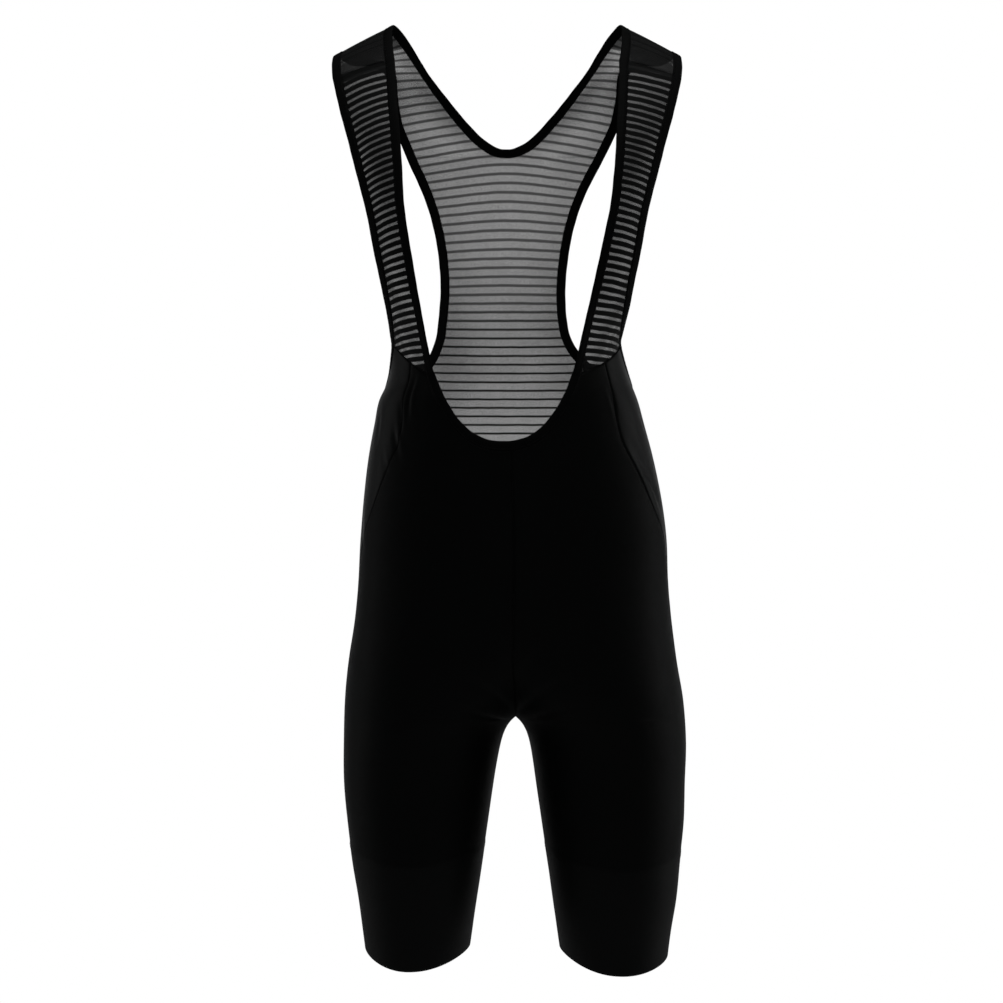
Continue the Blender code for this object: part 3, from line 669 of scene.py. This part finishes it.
# %% Where the stripes fall
STRIPE_STEP = 0.0096
STRAP_STEP = 0.0074
BACK_STRIPES = table(
    "down    number",
    (-0.1050, -21.4),
    (0.0530, -5.0),
    (0.1010, 0.0),
    (0.1489, 5.0),
    (0.1988, 10.0),
    (0.2468, 15.0),
    (0.2936, 20.0),
    (0.3401, 25.0),
    (0.3852, 30.0),
    (0.4700, 39.5),
)
STRAP_STRIPES = table(
    "down    number tilt",
    (0.0000, -4.3, 0.24),
    (0.0328, 0.0, 0.26),
    (0.0707, 5.0, 0.31),
    (0.1069, 10.0, 0.34),
    (0.1429, 15.0, 0.36),
    (0.2000, 22.6, 0.30),
    (0.2600, 30.5, 0.16),
    (0.3070, 36.7, 0.06),
    (0.3500, 42.4, 0.00),
)
ARCH_SLOPE, ARCH_ROUND, ARCH_TOP, ARCH_END = 0.24, 0.042, 0.101, 0.285
LEFT_TILT, TILT_BEND, TILT_WIDTH = 0.6, 0.3, 0.030


def back_stripes(grid, side):
    """U = the way across. V = - the stripe's number x the step, read from the table by how far down it is.

    Down is minus the height on the yoke, and above the neck less the distance up the arm in the plane of
    y and z. The arch takes slope x (root of (x^2 + round^2) - round) from it, fading to none lower down.
    """
    down = -grid[..., 2]
    step = np.linalg.norm(np.diff(grid[..., 1:], axis=0), axis=-1)
    climbed = np.cumsum(step[:ARM_ROWS][::-1], axis=0)[::-1]
    down[:ARM_ROWS] = down[ARM_ROWS] - climbed
    arch = ARCH_SLOPE * (np.hypot(grid[..., 0], ARCH_ROUND) - ARCH_ROUND)
    fade = np.clip((ARCH_END - down) / (ARCH_END - ARCH_TOP), 0, 1)
    down = down - arch * fade
    number = through_rows(down, BACK_STRIPES["down"], BACK_STRIPES["number"])
    across = side * run_along(grid, 1)
    across[:ARM_ROWS] = across[ARM_ROWS] + (grid[:ARM_ROWS, :, 0] - grid[ARM_ROWS, :, 0])
    return np.stack([across, -number * STRIPE_STEP], axis=-1)


def strap_stripes(grid, side):
    """Down = minus height, less tilt x ((1 - bend) x out + bend x out^2 / width).

    Out is the way from the inner edge, and the left strap's lines tilt less.
    """
    out = run_along(grid, 1)
    down = -grid[..., 2]
    tilt = through_rows(down, STRAP_STRIPES["down"], STRAP_STRIPES["tilt"])
    tilt = tilt * (LEFT_TILT if side == LEFT else 1.0)
    down = down - tilt * ((1 - TILT_BEND) * out + TILT_BEND * out**2 / TILT_WIDTH)
    number = through_rows(down, STRAP_STRIPES["down"], STRAP_STRIPES["number"])
    return np.stack([side * out, -number * STRAP_STEP], axis=-1)


def panel_measures(grid, side):
    """U is the distance across from the panel's first seam, and V the distance up from the crotch's level."""
    down = run_along(grid, 0)
    return np.stack([side * run_along(grid, 1), down[TORSO_ROWS] - down], axis=-1)


print("stripes down the back", BACK_STRIPES["number"][-1], "and down a strap", STRAP_STRIPES["number"][-2])

# %% [markdown]
# Lycra is a warp knit of nylon and elastane: matt in front, and on the side panels a smoother, shinier
# face. Its wales and courses are under a millimetre apart, so the knit is a small bump on the cloth's own
# UV map, and cloudy noise varies the black and the roughness, as wear and stretch do. Grazing light
# catches the fine fuzz, which is the shader's sheen.

# %% Lycra and its thread
BAND_GLOSS = 0.14


def cloth_coordinates(wire):
    """U across and V along the cloth, in metres, from its own UV map."""
    uv = wire.node("ShaderNodeUVMap", {"uv_map": "cloth"})
    u, v = (wire.node("ShaderNodeSeparateXYZ", None, {0: uv}, out) for out in (0, 1))
    return uv, u, v


def waves(coordinate, step):
    """A sine from -1 to 1, one turn per step."""
    return (coordinate * (2 * np.pi / step)).math("SINE")


def mixed(wire, share, dark, light):
    """A colour from dark to light by a share."""
    sockets = {"Factor": share, 6: (*dark, 1), 7: (*light, 1)}
    return wire.node("ShaderNodeMix", {"data_type": "RGBA"}, sockets, 2)


def lycra(name, dark, light, roughness, gloss, sheen, knit_size=(0.00085, 0.00070), relief=0.00005):
    """Knit = product of the wales' and the courses' sines + 0.6 x the wales', under cloudy black."""
    made, wire = new_material(name)
    uv, u, v = cloth_coordinates(wire)
    band = wire.node("ShaderNodeAttribute", {"attribute_name": "band"}, None, 2)
    wales = waves(u, knit_size[0])
    knit = wales * waves(v, knit_size[1]) + wales * 0.6
    patches = wire.noise(uv, 0.035, 3.0)
    grain = wire.noise(uv, 0.0012, 1.0)
    bump = wire.node(
        "ShaderNodeBump", None, {"Strength": 0.5, "Distance": relief, "Height": knit + grain * 0.8}
    )
    shader = wire.node(
        "ShaderNodeBsdfPrincipled",
        None,
        {
            "Base Color": mixed(wire, patches, dark, light),
            "Roughness": patches * 0.10 + (roughness - 0.05) + grain * 0.04,
            "Coat Weight": band * BAND_GLOSS,
            "Coat Roughness": 0.42,
            "Normal": bump,
            "Specular IOR Level": gloss,
            "Sheen Weight": sheen,
            "Sheen Roughness": 0.35,
            "Sheen Tint": (0.85, 0.92, 1.0, 1),
        },
    )
    surface(wire, shader)
    return made


matt_lycra = lycra("lycra", (0.0020, 0.0024, 0.0022), (0.0038, 0.0044, 0.0040), 0.52, 0.17, 0.015)
side_lycra = lycra("shiny_lycra", (0.0024, 0.0028, 0.0027), (0.0046, 0.0052, 0.0050), 0.38, 0.20, 0.02)
tape_knit = lycra(
    "binding", (0.0016, 0.0019, 0.0018), (0.0032, 0.0036, 0.0034), 0.68, 0.16, 0.02,
    knit_size=(0.0011, 0.0009), relief=0.00012,
)
thread_black = lycra(
    "thread", (0.0040, 0.0044, 0.0042), (0.0075, 0.0080, 0.0078), 0.48, 0.30, 0.05,
    knit_size=(0.0006, 0.0005), relief=0.00003,
)
print("lycra finishes made")

# %% [markdown]
# The mesh is one cloth with two knits in turn: dense black ribs, and a sheer net of fine yarn that lets
# light through. On the back the net bands are wide and the ribs narrow; on the straps it is the other way
# round. The stripe is a smooth step on the distance from the rib's middle, V swaying a little by noise,
# and the net is a grid of small holes that opens the cloth by a known share on average.

# %% Striped mesh
HOLE_STEP = 0.0008
HOLE_CONTRAST, HOLE_LEVEL = 1.5, 0.55
MESH_BLACK, MESH_GREY = (0.0035, 0.0040, 0.0038), (0.014, 0.0145, 0.0145)
sample = np.sin(np.linspace(0, 2 * np.pi, 400, endpoint=False))
hole_samples = np.clip(sample[:, None] * sample * HOLE_CONTRAST + HOLE_LEVEL, 0, 1)
HOLE_MEAN = float((hole_samples**2).mean() ** 0.5)


def striped_mesh(name, step, ribs, opens, sway, turn_at, shut_above, shut):
    """Alpha = 1 - open, where open runs from the rib's share to the net's, times the holes over their mean.

    Light passes both faces of the thin wall, so each face opens by the root of the share that the cloth
    does, and the holes' mean is the root of their mean square. ribs are the shares of a step that is rib,
    above and below turn_at, and opens the open shares of the net, of a rib above it and of one below.
    Above shut_above, where the arm doubles over the shoulder or the strap meets its seam, less light
    passes by the share shut.
    """
    net_open, rib_open, low_rib_open = (share**0.5 / HOLE_MEAN for share in opens)
    made, wire = new_material(name)
    uv, u, v = cloth_coordinates(wire)
    bent = v + (wire.noise(uv, 0.018, 1.0) - 0.5) * sway
    from_rib = (bent / step).math("PINGPONG", 0.5)
    upper = v.step(turn_at - 0.03, turn_at + 0.03)
    rib_half = upper * ((ribs[0] - ribs[1]) / 2) + ribs[1] / 2
    net = (from_rib - rib_half).step(-0.05, 0.07)
    holes = waves(u + v, HOLE_STEP * 1.41) * waves(u - v, HOLE_STEP * 1.41)
    holes = holes * HOLE_CONTRAST + HOLE_LEVEL
    holes = holes.node("ShaderNodeClamp", None, {"Value": holes})
    cloudy = wire.noise(uv, 0.030, 2.0) * 0.12 + 0.94
    rib_light = upper * (rib_open - low_rib_open) + low_rib_open
    open_share = (net * cloudy * net_open + (1 - net) * rib_light) * holes
    open_share = open_share * (1 - v.step(shut_above - 0.0008, shut_above) * shut)
    relief = (1 - net) + holes * -0.25
    bump = wire.node("ShaderNodeBump", None, {"Strength": 0.6, "Distance": 0.00035, "Height": relief})
    shader = wire.node(
        "ShaderNodeBsdfPrincipled",
        None,
        {
            "Base Color": mixed(wire, net, MESH_BLACK, MESH_GREY),
            "Roughness": 0.72 - net * 0.12,
            "Alpha": 1 - open_share,
            "Normal": bump,
            "Specular IOR Level": 0.25,
            "Sheen Weight": 0.05,
            "Sheen Roughness": 0.4,
        },
    )
    surface(wire, shader)
    return made


back_mesh = striped_mesh(
    "striped_mesh_back", STRIPE_STEP, ribs=(0.28, 0.20), opens=(0.225, 0.055, 0.010), sway=0.0008,
    turn_at=-18.5 * STRIPE_STEP, shut_above=14.6 * STRIPE_STEP, shut=0.55,
)
strap_mesh = striped_mesh(
    "striped_mesh_strap", STRAP_STEP, ribs=(0.60, 0.60), opens=(0.150, 0.0008, 0.0008), sway=0.0014,
    turn_at=0.0, shut_above=0.4 * STRAP_STEP, shut=1.0,
)
print("each face of the net is open by", round(HOLE_MEAN, 3), "of a hole's own opening")

# %% [markdown]
# A sheet is built from one grid, or from two halves that meet in the middle. Its points are joined where
# they fall together, its faces look outward, and a Solidify modifier gives it its thin wall, grown both
# ways. The UV map keeps the measures that the finishes read.

# %% Sheets of cloth
LYCRA_WALL, MESH_WALL = 0.0009, 0.0006


def quads(rows, columns, first=0, flip=False):
    """The faces of a grid whose points are numbered row by row."""
    corner = (np.arange(rows - 1)[:, None] * columns + np.arange(columns - 1)).ravel() + first
    faces = np.stack([corner, corner + 1, corner + columns + 1, corner + columns], axis=1)
    return faces[:, ::-1] if flip else faces


def area_of(grid):
    """Half the length of each cell's diagonals crossed, summed."""
    diagonals = np.cross(grid[1:, 1:] - grid[:-1, :-1], grid[1:, :-1] - grid[:-1, 1:])
    return float(np.linalg.norm(diagonals, axis=-1).sum() / 2)


def one_mesh(name, points, faces, uv, finish, band=None):
    """A mesh object whose points within a hundredth of a millimetre of each other are one."""
    _, first, index = np.unique(np.round(points, 5), axis=0, return_index=True, return_inverse=True)
    mesh = bpy.data.meshes.new(name)
    mesh.from_pydata(points[first].tolist(), [], index.reshape(-1)[faces].tolist())
    layer = mesh.uv_layers.new(name="cloth")
    layer.data.foreach_set("uv", uv[faces.ravel()].astype(np.float32).ravel())
    if band is not None:
        values = mesh.attributes.new("band", "FLOAT", "POINT").data
        values.foreach_set("value", band[first].astype(np.float32))
    mesh.shade_smooth()
    mesh.materials.append(finish)
    piece = bpy.data.objects.new(name, mesh)
    bpy.context.scene.collection.objects.link(piece)
    return piece


def cloth(name, halves, wall, finish, band=None):
    """halves are (grid, measures, turn). A grid that runs down and round the left half has turn 1."""
    points, faces, uv, first = [], [], [], 0
    for grid, measures, turn in halves:
        rows, columns = grid.shape[:2]
        points.append(grid.reshape(-1, 3))
        uv.append(measures.reshape(-1, 2))
        faces.append(quads(rows, columns, first, turn == 1))
        first += rows * columns
    piece = one_mesh(name, np.concatenate(points), np.concatenate(faces), np.concatenate(uv), finish, band)
    solid = piece.modifiers.new("wall", "SOLIDIFY")
    solid.thickness, solid.offset, solid.use_even_offset = wall, 0.0, True
    return piece


sheets = {}
for side, word in ((LEFT, "left"), (RIGHT, "right")):
    for part, finish in (("front", matt_lycra), ("side", side_lycra), ("back", matt_lycra)):
        grid = half[side][part]
        sheets[f"{part}_{word}"] = cloth(
            f"lycra_{part}_{word}", [(grid, panel_measures(grid, side), side)], LYCRA_WALL, finish,
            bands[side][part].ravel(),
        )
        print(part, word, "area", round(area_of(grid), 4))
    grid = half[side]["strap"]
    sheets[f"strap_{word}"] = cloth(
        f"mesh_strap_{word}", [(grid, strap_stripes(grid, side), side)], MESH_WALL, strap_mesh
    )
    print("strap", word, "area", round(area_of(grid), 4))
both = [(half[side]["yoke"], back_stripes(half[side]["yoke"], side), -side) for side in (LEFT, RIGHT)]
sheets["back_mesh"] = cloth("mesh_back", both, MESH_WALL, back_mesh)
print("back mesh area", round(sum(area_of(grid) for grid, _, _ in both), 4))

# %% [markdown]
# Every raw edge above the lycra's seam line is bound with elastic tape, folded over the edge and held by a
# zigzag stitch. The tape is a flat rounded section carried round the closed edge. The path and its
# directions are evened first, because a stretched tape rounds off the corners of what it binds.

# %% Tape along the edges
TAPE_REACH = (-0.0008, 0.0091)
TAPE_HALF_WALL = 0.00112
TAPE_ROUNDNESS = 2.7
ZIGZAG, NIBBLE = 0.0029, 0.00030
WIDTH_SWAY, SWAY_LENGTHS = 0.00016, (0.031, 0.083)
NEEDLE_LINE, NEEDLE_WIDTH, PINCH, PUCKER = 0.0012, 0.0007, 0.22, 0.06
POINTS_APART = 0.0008
PATH_BLUR, NORMAL_BLUR = 0.0030, 0.0060
SURE_COLUMN = 14  # far enough in from the fork of the neckline that the cloth's normal is sure


def evened(values, sigma, spacing):
    """A closed row of values blurred by a bell of this width: its Fourier terms times e^(-2 (pi s f)^2)."""
    turns = np.fft.rfftfreq(len(values), spacing)[:, None]
    kept = np.exp(-2 * (np.pi * sigma * turns) ** 2)
    return np.fft.irfft(np.fft.rfft(values, axis=0) * kept, len(values), axis=0)


def unit(vectors):
    return vectors / np.maximum(np.linalg.norm(vectors, axis=-1, keepdims=True), 1e-12)


def bound_edge(stretches):
    """The closed edge at even spacing, with the ways along it, out of the cloth and off its face."""
    points, inward, off = (np.concatenate([stretch[part] for stretch in stretches]) for part in range(3))
    keep = np.linalg.norm(points - np.roll(points, 1, axis=0), axis=1) > 0.0003
    points, inward, off = points[keep], unit(inward[keep]), off[keep]
    way = np.append(0, np.cumsum(np.linalg.norm(np.roll(points, -1, axis=0) - points, axis=1)))
    count = int(round(way[-1] / POINTS_APART))
    at = np.linspace(0, way[-1], count, endpoint=False)
    ends = [np.concatenate([values, values[:1]]) for values in (points, inward, off)]
    points, inward, off = (np.stack([np.interp(at, way, column) for column in rows.T], -1) for rows in ends)
    points = evened(points, PATH_BLUR, POINTS_APART)
    along = unit(np.roll(points, -1, axis=0) - np.roll(points, 1, axis=0))
    up = evened(off, NORMAL_BLUR, POINTS_APART)
    up = unit(up - along * np.sum(up * along, axis=1, keepdims=True))
    out = np.cross(along, up)
    out *= -np.sign(np.median(np.sum(out * inward, axis=1)))
    return points, at, out, up, way[-1]


def tape(name, path):
    """Rings round the path: out x (middle + half width x cosine) + up x half wall x sine.

    Cosine and sine are each to the power 2/roundness. The inner edge is nibbled by the zigzag, the wall is
    pinched along its needle line, and slow sines keep the width from being quite even.
    """
    points, at, out, up, length = path
    turn = np.linspace(0, 2 * np.pi, 16, endpoint=False)
    cosine, sine = power(np.cos(turn), 2 / TAPE_ROUNDNESS), power(np.sin(turn), 2 / TAPE_ROUNDNESS)
    middle, reach = sum(TAPE_REACH) / 2, (TAPE_REACH[1] - TAPE_REACH[0]) / 2
    turns = 2 * np.pi * at[:, None] / length
    short, long = (np.sin(turns * round(length / sway) + start) for start, sway in enumerate(SWAY_LENGTHS))
    nibble = NIBBLE * np.sin(turns * round(length / ZIGZAG)) * np.clip(-cosine, 0, 1)
    across = middle + reach * cosine + nibble + WIDTH_SWAY * short * long
    pinch = 1 - PINCH * np.exp(-(((across - NEEDLE_LINE) / NEEDLE_WIDTH) ** 2))
    pucker = 1 + PUCKER * np.sin(turns * round(length / (2 * ZIGZAG)) + 3 * cosine)
    ring = points[:, None] + out[:, None] * across[..., None]
    ring = ring + up[:, None] * (TAPE_HALF_WALL * sine * pinch * pucker)[..., None]
    count, sides = ring.shape[:2]
    number = np.arange(count * sides).reshape(count, sides)
    ahead, beside = np.roll(number, -1, axis=0), np.roll(number, -1, axis=1)
    faces = np.stack([number, beside, np.roll(ahead, -1, axis=1), ahead], axis=-1).reshape(-1, 4)
    if np.sum(np.cross(out, up) * (np.roll(points, -1, axis=0) - points)) < 0:
        faces = faces[:, ::-1]
    uv = np.stack(np.broadcast_arrays(at[:, None], turn * 0.0035), axis=-1).reshape(-1, 2)
    return one_mesh(name, ring.reshape(-1, 3), faces, uv, tape_knit)


def edge_of(grid, column, inner_column, side, rows=slice(None)):
    """One stretch of a bound edge along a grid's column: points, the way into the cloth, and off its face.

    The face is read at the inner column, since a grid's corner has no sure normal.
    """
    inner = grid[rows, inner_column]
    return grid[rows, column], inner - grid[rows, column], outward(grid, side)[rows, inner_column]


def top_of(grid, side, columns):
    """The same along a grid's top row."""
    return grid[0, columns], grid[3, columns] - grid[0, columns], outward(grid, side)[0, columns]


def backwards(stretch):
    return tuple(part[::-1] for part in stretch)


neck, paths = {}, {}
for side, word in ((LEFT, "left"), (RIGHT, "right")):
    front, strap, yoke = half[side]["front"], half[side]["strap"], half[side]["yoke"]
    neck[side] = [
        top_of(front, side, slice(0, SCOOP_COLUMNS + 1)),
        backwards(edge_of(strap, 0, 3, side)),
        edge_of(yoke, 0, SURE_COLUMN, -side, slice(0, ARM_ROWS + 1)),
    ]
    paths[f"armhole_{word}"] = bound_edge([
        backwards(edge_of(strap, -1, -4, side)),
        edge_of(yoke, -1, -4, -side),
        backwards(top_of(half[side]["side"], side, slice(STRAP_SIDE_COLUMNS, None))),
    ])
right_way_back = [backwards(stretch) for stretch in neck[RIGHT][::-1]]
paths["neck"] = bound_edge(neck[LEFT] + right_way_back)
tapes = {name: tape(f"tape_{name}", path) for name, path in paths.items()}
print({name: round(path[4], 3) for name, path in paths.items()}, "metres of tape")

# %% [markdown]
# Stitches. Bib shorts are sewn with stretch seams: a flatlock zigzag lies across each join between two
# panels, a finer zigzag holds the tape, and twin needles run round the top of each leg's grip band. Each
# line is one thread swept along a wave on the cloth. A running stitch is a thread that dips under the
# cloth once a stitch, so only its tops show. All lines of one kind are joined as one piece.

# %% Stitches
THREAD = 0.00016
FLATLOCK_PITCH, FLATLOCK_HALF_WIDTH = 0.0022, 0.0016
NEEDLE_GAP, NEEDLE_PITCH, NEEDLES_BELOW = 0.0026, 0.0031, 0.0024
NEEDLE_RISE, NEEDLE_SWING = 0.00030, 0.00040
OVER_TOP_SEAM = LYCRA_WALL / 2 + THREAD * 1.3 + 0.00010
OVER_SEAM = OVER_TOP_SEAM - 0.0002
OVER_MESH = 0.00055
OVER_TAPE = TAPE_HALF_WALL * 0.80 + THREAD * 0.8
TAPE_NEEDLES = (0.0011, 0.0009)  # the zigzag's middle and half width, out from the edge
SEAM_START, INSEAM_START = 6, TORSO_ROWS + 4
MIDDLE_SEAM_ROWS = slice(8, TORSO_ROWS - 2)
UNBOUND_TOPS = {  # where mesh is sewn to a panel's top
    "front": slice(SCOOP_COLUMNS, None),
    "side": slice(0, STRAP_SIDE_COLUMNS + 1),
    "back": slice(0, None),
}


def resampled(line, spacing):
    """Rows of values along a line, moved to even spacing. The first three columns are its points."""
    way = np.append(0, np.cumsum(np.linalg.norm(np.diff(line[:, :3], axis=0), axis=1)))
    at = np.linspace(0, way[-1], max(int(way[-1] / spacing), 8))
    return np.stack([np.interp(at, way, column) for column in line.T], -1), at


def swept_thread(path):
    """A closed tube of four sides: each ring is the point + radius x (cosine x side way + sine x up)."""
    along = unit(np.gradient(path, axis=0))
    beside = unit(np.cross(along, np.array([0.31, 0.52, 0.80])))
    above = np.cross(beside, along)
    turn = np.arange(4) * np.pi / 2
    ring = beside[:, None] * np.cos(turn)[:, None] + above[:, None] * np.sin(turn)[:, None]
    ends = np.ones(len(path))
    ends[[0, -1]] = 0.02
    points = (path[:, None] + ring * (THREAD * ends)[:, None, None]).reshape(-1, 3)
    number = np.arange(len(points)).reshape(-1, 4)
    beyond = np.roll(number, -1, axis=1)
    faces = np.stack([number[:-1], number[1:], beyond[1:], beyond[:-1]], axis=-1).reshape(-1, 4)
    return points, np.concatenate([faces, number[:1], number[-1:, ::-1]])


def stitched(name, threads):
    """Threads joined as one piece."""
    points, faces, first = [], [], 0
    for path in threads:
        tube, sides = swept_thread(path)
        points.append(tube)
        faces.append(sides + first)
        first += len(tube)
    points, faces = np.concatenate(points), np.concatenate(faces)
    mesh = bpy.data.meshes.new(name)
    mesh.from_pydata(points.tolist(), [], faces.tolist())
    uv = np.stack([points[:, 0] + points[:, 1], points[:, 2]], axis=-1)[faces.ravel()]
    mesh.uv_layers.new(name="cloth").data.foreach_set("uv", uv.astype(np.float32).ravel())
    mesh.shade_smooth()
    mesh.materials.append(thread_black)
    piece = bpy.data.objects.new(name, mesh)
    bpy.context.scene.collection.objects.link(piece)
    return piece


def triangle_wave(at, pitch):
    """From -1 to 1 and back once a pitch."""
    return 2 * np.abs(2 * ((at / pitch) % 1) - 1) - 1


def flatlock(line, across, up, height):
    """A zigzag over a seam: the line, plus across x half width x triangle wave, plus up x height."""
    rows, at = resampled(np.concatenate([line, across, up], axis=1), FLATLOCK_PITCH / 4)
    wave = triangle_wave(at, FLATLOCK_PITCH)[:, None]
    return rows[:, :3] + unit(rows[:, 3:6]) * (FLATLOCK_HALF_WIDTH * wave) + unit(rows[:, 6:]) * height


def running_stitch(line, across, up, aside):
    """A row beside a line that rises over the cloth and dips under it by a cosine."""
    rows, at = resampled(np.concatenate([line, across, up], axis=1), NEEDLE_PITCH / 6)
    rise = NEEDLE_RISE + NEEDLE_SWING * np.cos(2 * np.pi * at / NEEDLE_PITCH)[:, None]
    return rows[:, :3] + unit(rows[:, 3:6]) * aside + unit(rows[:, 6:]) * rise


def top_seam(grid, side, columns, height):
    """A flatlock along a grid's top row."""
    across = grid[0, columns] - grid[3, columns]
    return flatlock(grid[0, columns], across, outward(grid, side)[0, columns], height)


def middle_seam(part, column, inner_column):
    """A flatlock where the two halves of one panel meet."""
    rows, left, right = MIDDLE_SEAM_ROWS, half[LEFT][part], half[RIGHT][part]
    across = left[rows, inner_column] - right[rows, inner_column]
    return flatlock(left[rows, column], across, outward(left, LEFT)[rows, inner_column], OVER_SEAM)


seams, hems = [], []
for side in (LEFT, RIGHT):
    part = half[side]
    for a, b in (("front", "side"), ("side", "back")):
        line = (part[a][SEAM_START:, -1] + part[b][SEAM_START:, 0]) / 2
        across = part[b][SEAM_START:, 2] - part[a][SEAM_START:, -3]
        seams.append(flatlock(line, across, outward(part[a], side)[SEAM_START:, -2], OVER_SEAM))
    front, back = part["front"][INSEAM_START:], part["back"][INSEAM_START:]
    off = outward(part["front"], side)[INSEAM_START:, 2]
    seams.append(flatlock((front[:, 0] + back[:, -1]) / 2, front[:, 3] - back[:, -4], off, OVER_SEAM))
    for name, columns in UNBOUND_TOPS.items():
        seams.append(top_seam(part[name], side, columns, OVER_TOP_SEAM))
    seams.append(top_seam(part["strap"], side, slice(0, None), OVER_MESH))
    for name in ("front", "side", "back"):
        rows = np.argmax(bands[side][name] > 0.5, axis=0)
        columns = np.arange(part[name].shape[1])
        up = outward(part[name], side)[rows, columns]
        down = part[name][np.minimum(rows + 2, TORSO_ROWS + LEG_ROWS), columns] - part[name][rows, columns]
        for aside in (-NEEDLE_GAP / 2, NEEDLE_GAP / 2):
            hems.append(running_stitch(part[name][rows, columns], down, up, aside + NEEDLES_BELOW))
seams.append(middle_seam("front", 0, 3))
seams.append(middle_seam("back", -1, -4))

tape_threads = []
for points, at, out, up, length in paths.values():
    wave = triangle_wave(at, length / round(length / ZIGZAG))[:, None]
    for face in (1, -1):
        tape_threads.append(
            points + out * (TAPE_NEEDLES[0] + TAPE_NEEDLES[1] * wave) + up * (face * OVER_TAPE)
        )
stitches = {
    "stitches_seams": (stitched("stitches_seams", seams), "lycra"),
    "stitches_bands": (stitched("stitches_bands", hems), "lycra"),
    "stitches_tapes": (stitched("stitches_tapes", tape_threads), "binding"),
}
print({name: len(piece.data.polygons) for name, (piece, _) in stitches.items()}, "faces of stitching")

# %% [markdown]
# Last, each piece is tied to the imported model: it rides on the one body, and each panel, sheet of mesh
# and tape takes the place of its solid.

# %% Ties to the model
PARTS = {  # the flat cut's length and width, its area, and the finish
    "front": ((0.265, 0.600), 0.112, "lycra"),
    "side": ((0.135, 0.590), 0.050, "shiny_lycra"),
    "back": ((0.190, 0.560), 0.068, "lycra"),
    "strap": ((0.050, 0.300), 0.0110, "striped_mesh"),
}
TAPE_CUT_WIDTH, TAPE_CUT_SHARE = 0.0115, 0.95


def tie(piece, node, slot, **cut):
    """The piece rides on the one body and hides the solid of the node that it stands for. slot and cut are
    not used.
    """
    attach(piece, "root")
    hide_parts(node)


for word in ("left", "right"):
    for part, (flat, area, slot) in PARTS.items():
        tie(sheets[f"{part}_{word}"], f"{part}_{word}", slot, flat=flat, area=area)
tie(sheets["back_mesh"], "back_mesh", "striped_mesh", flat=(0.300, 0.560), area=0.0760)
for name, piece in tapes.items():
    node = "neck_binding" if name == "neck" else name.replace("armhole", "armhole_binding")
    tie(piece, node, "binding", flat=(TAPE_CUT_WIDTH, round(paths[name][4] * TAPE_CUT_SHARE, 3)))
for piece, slot in stitches.values():
    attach(piece, "root")
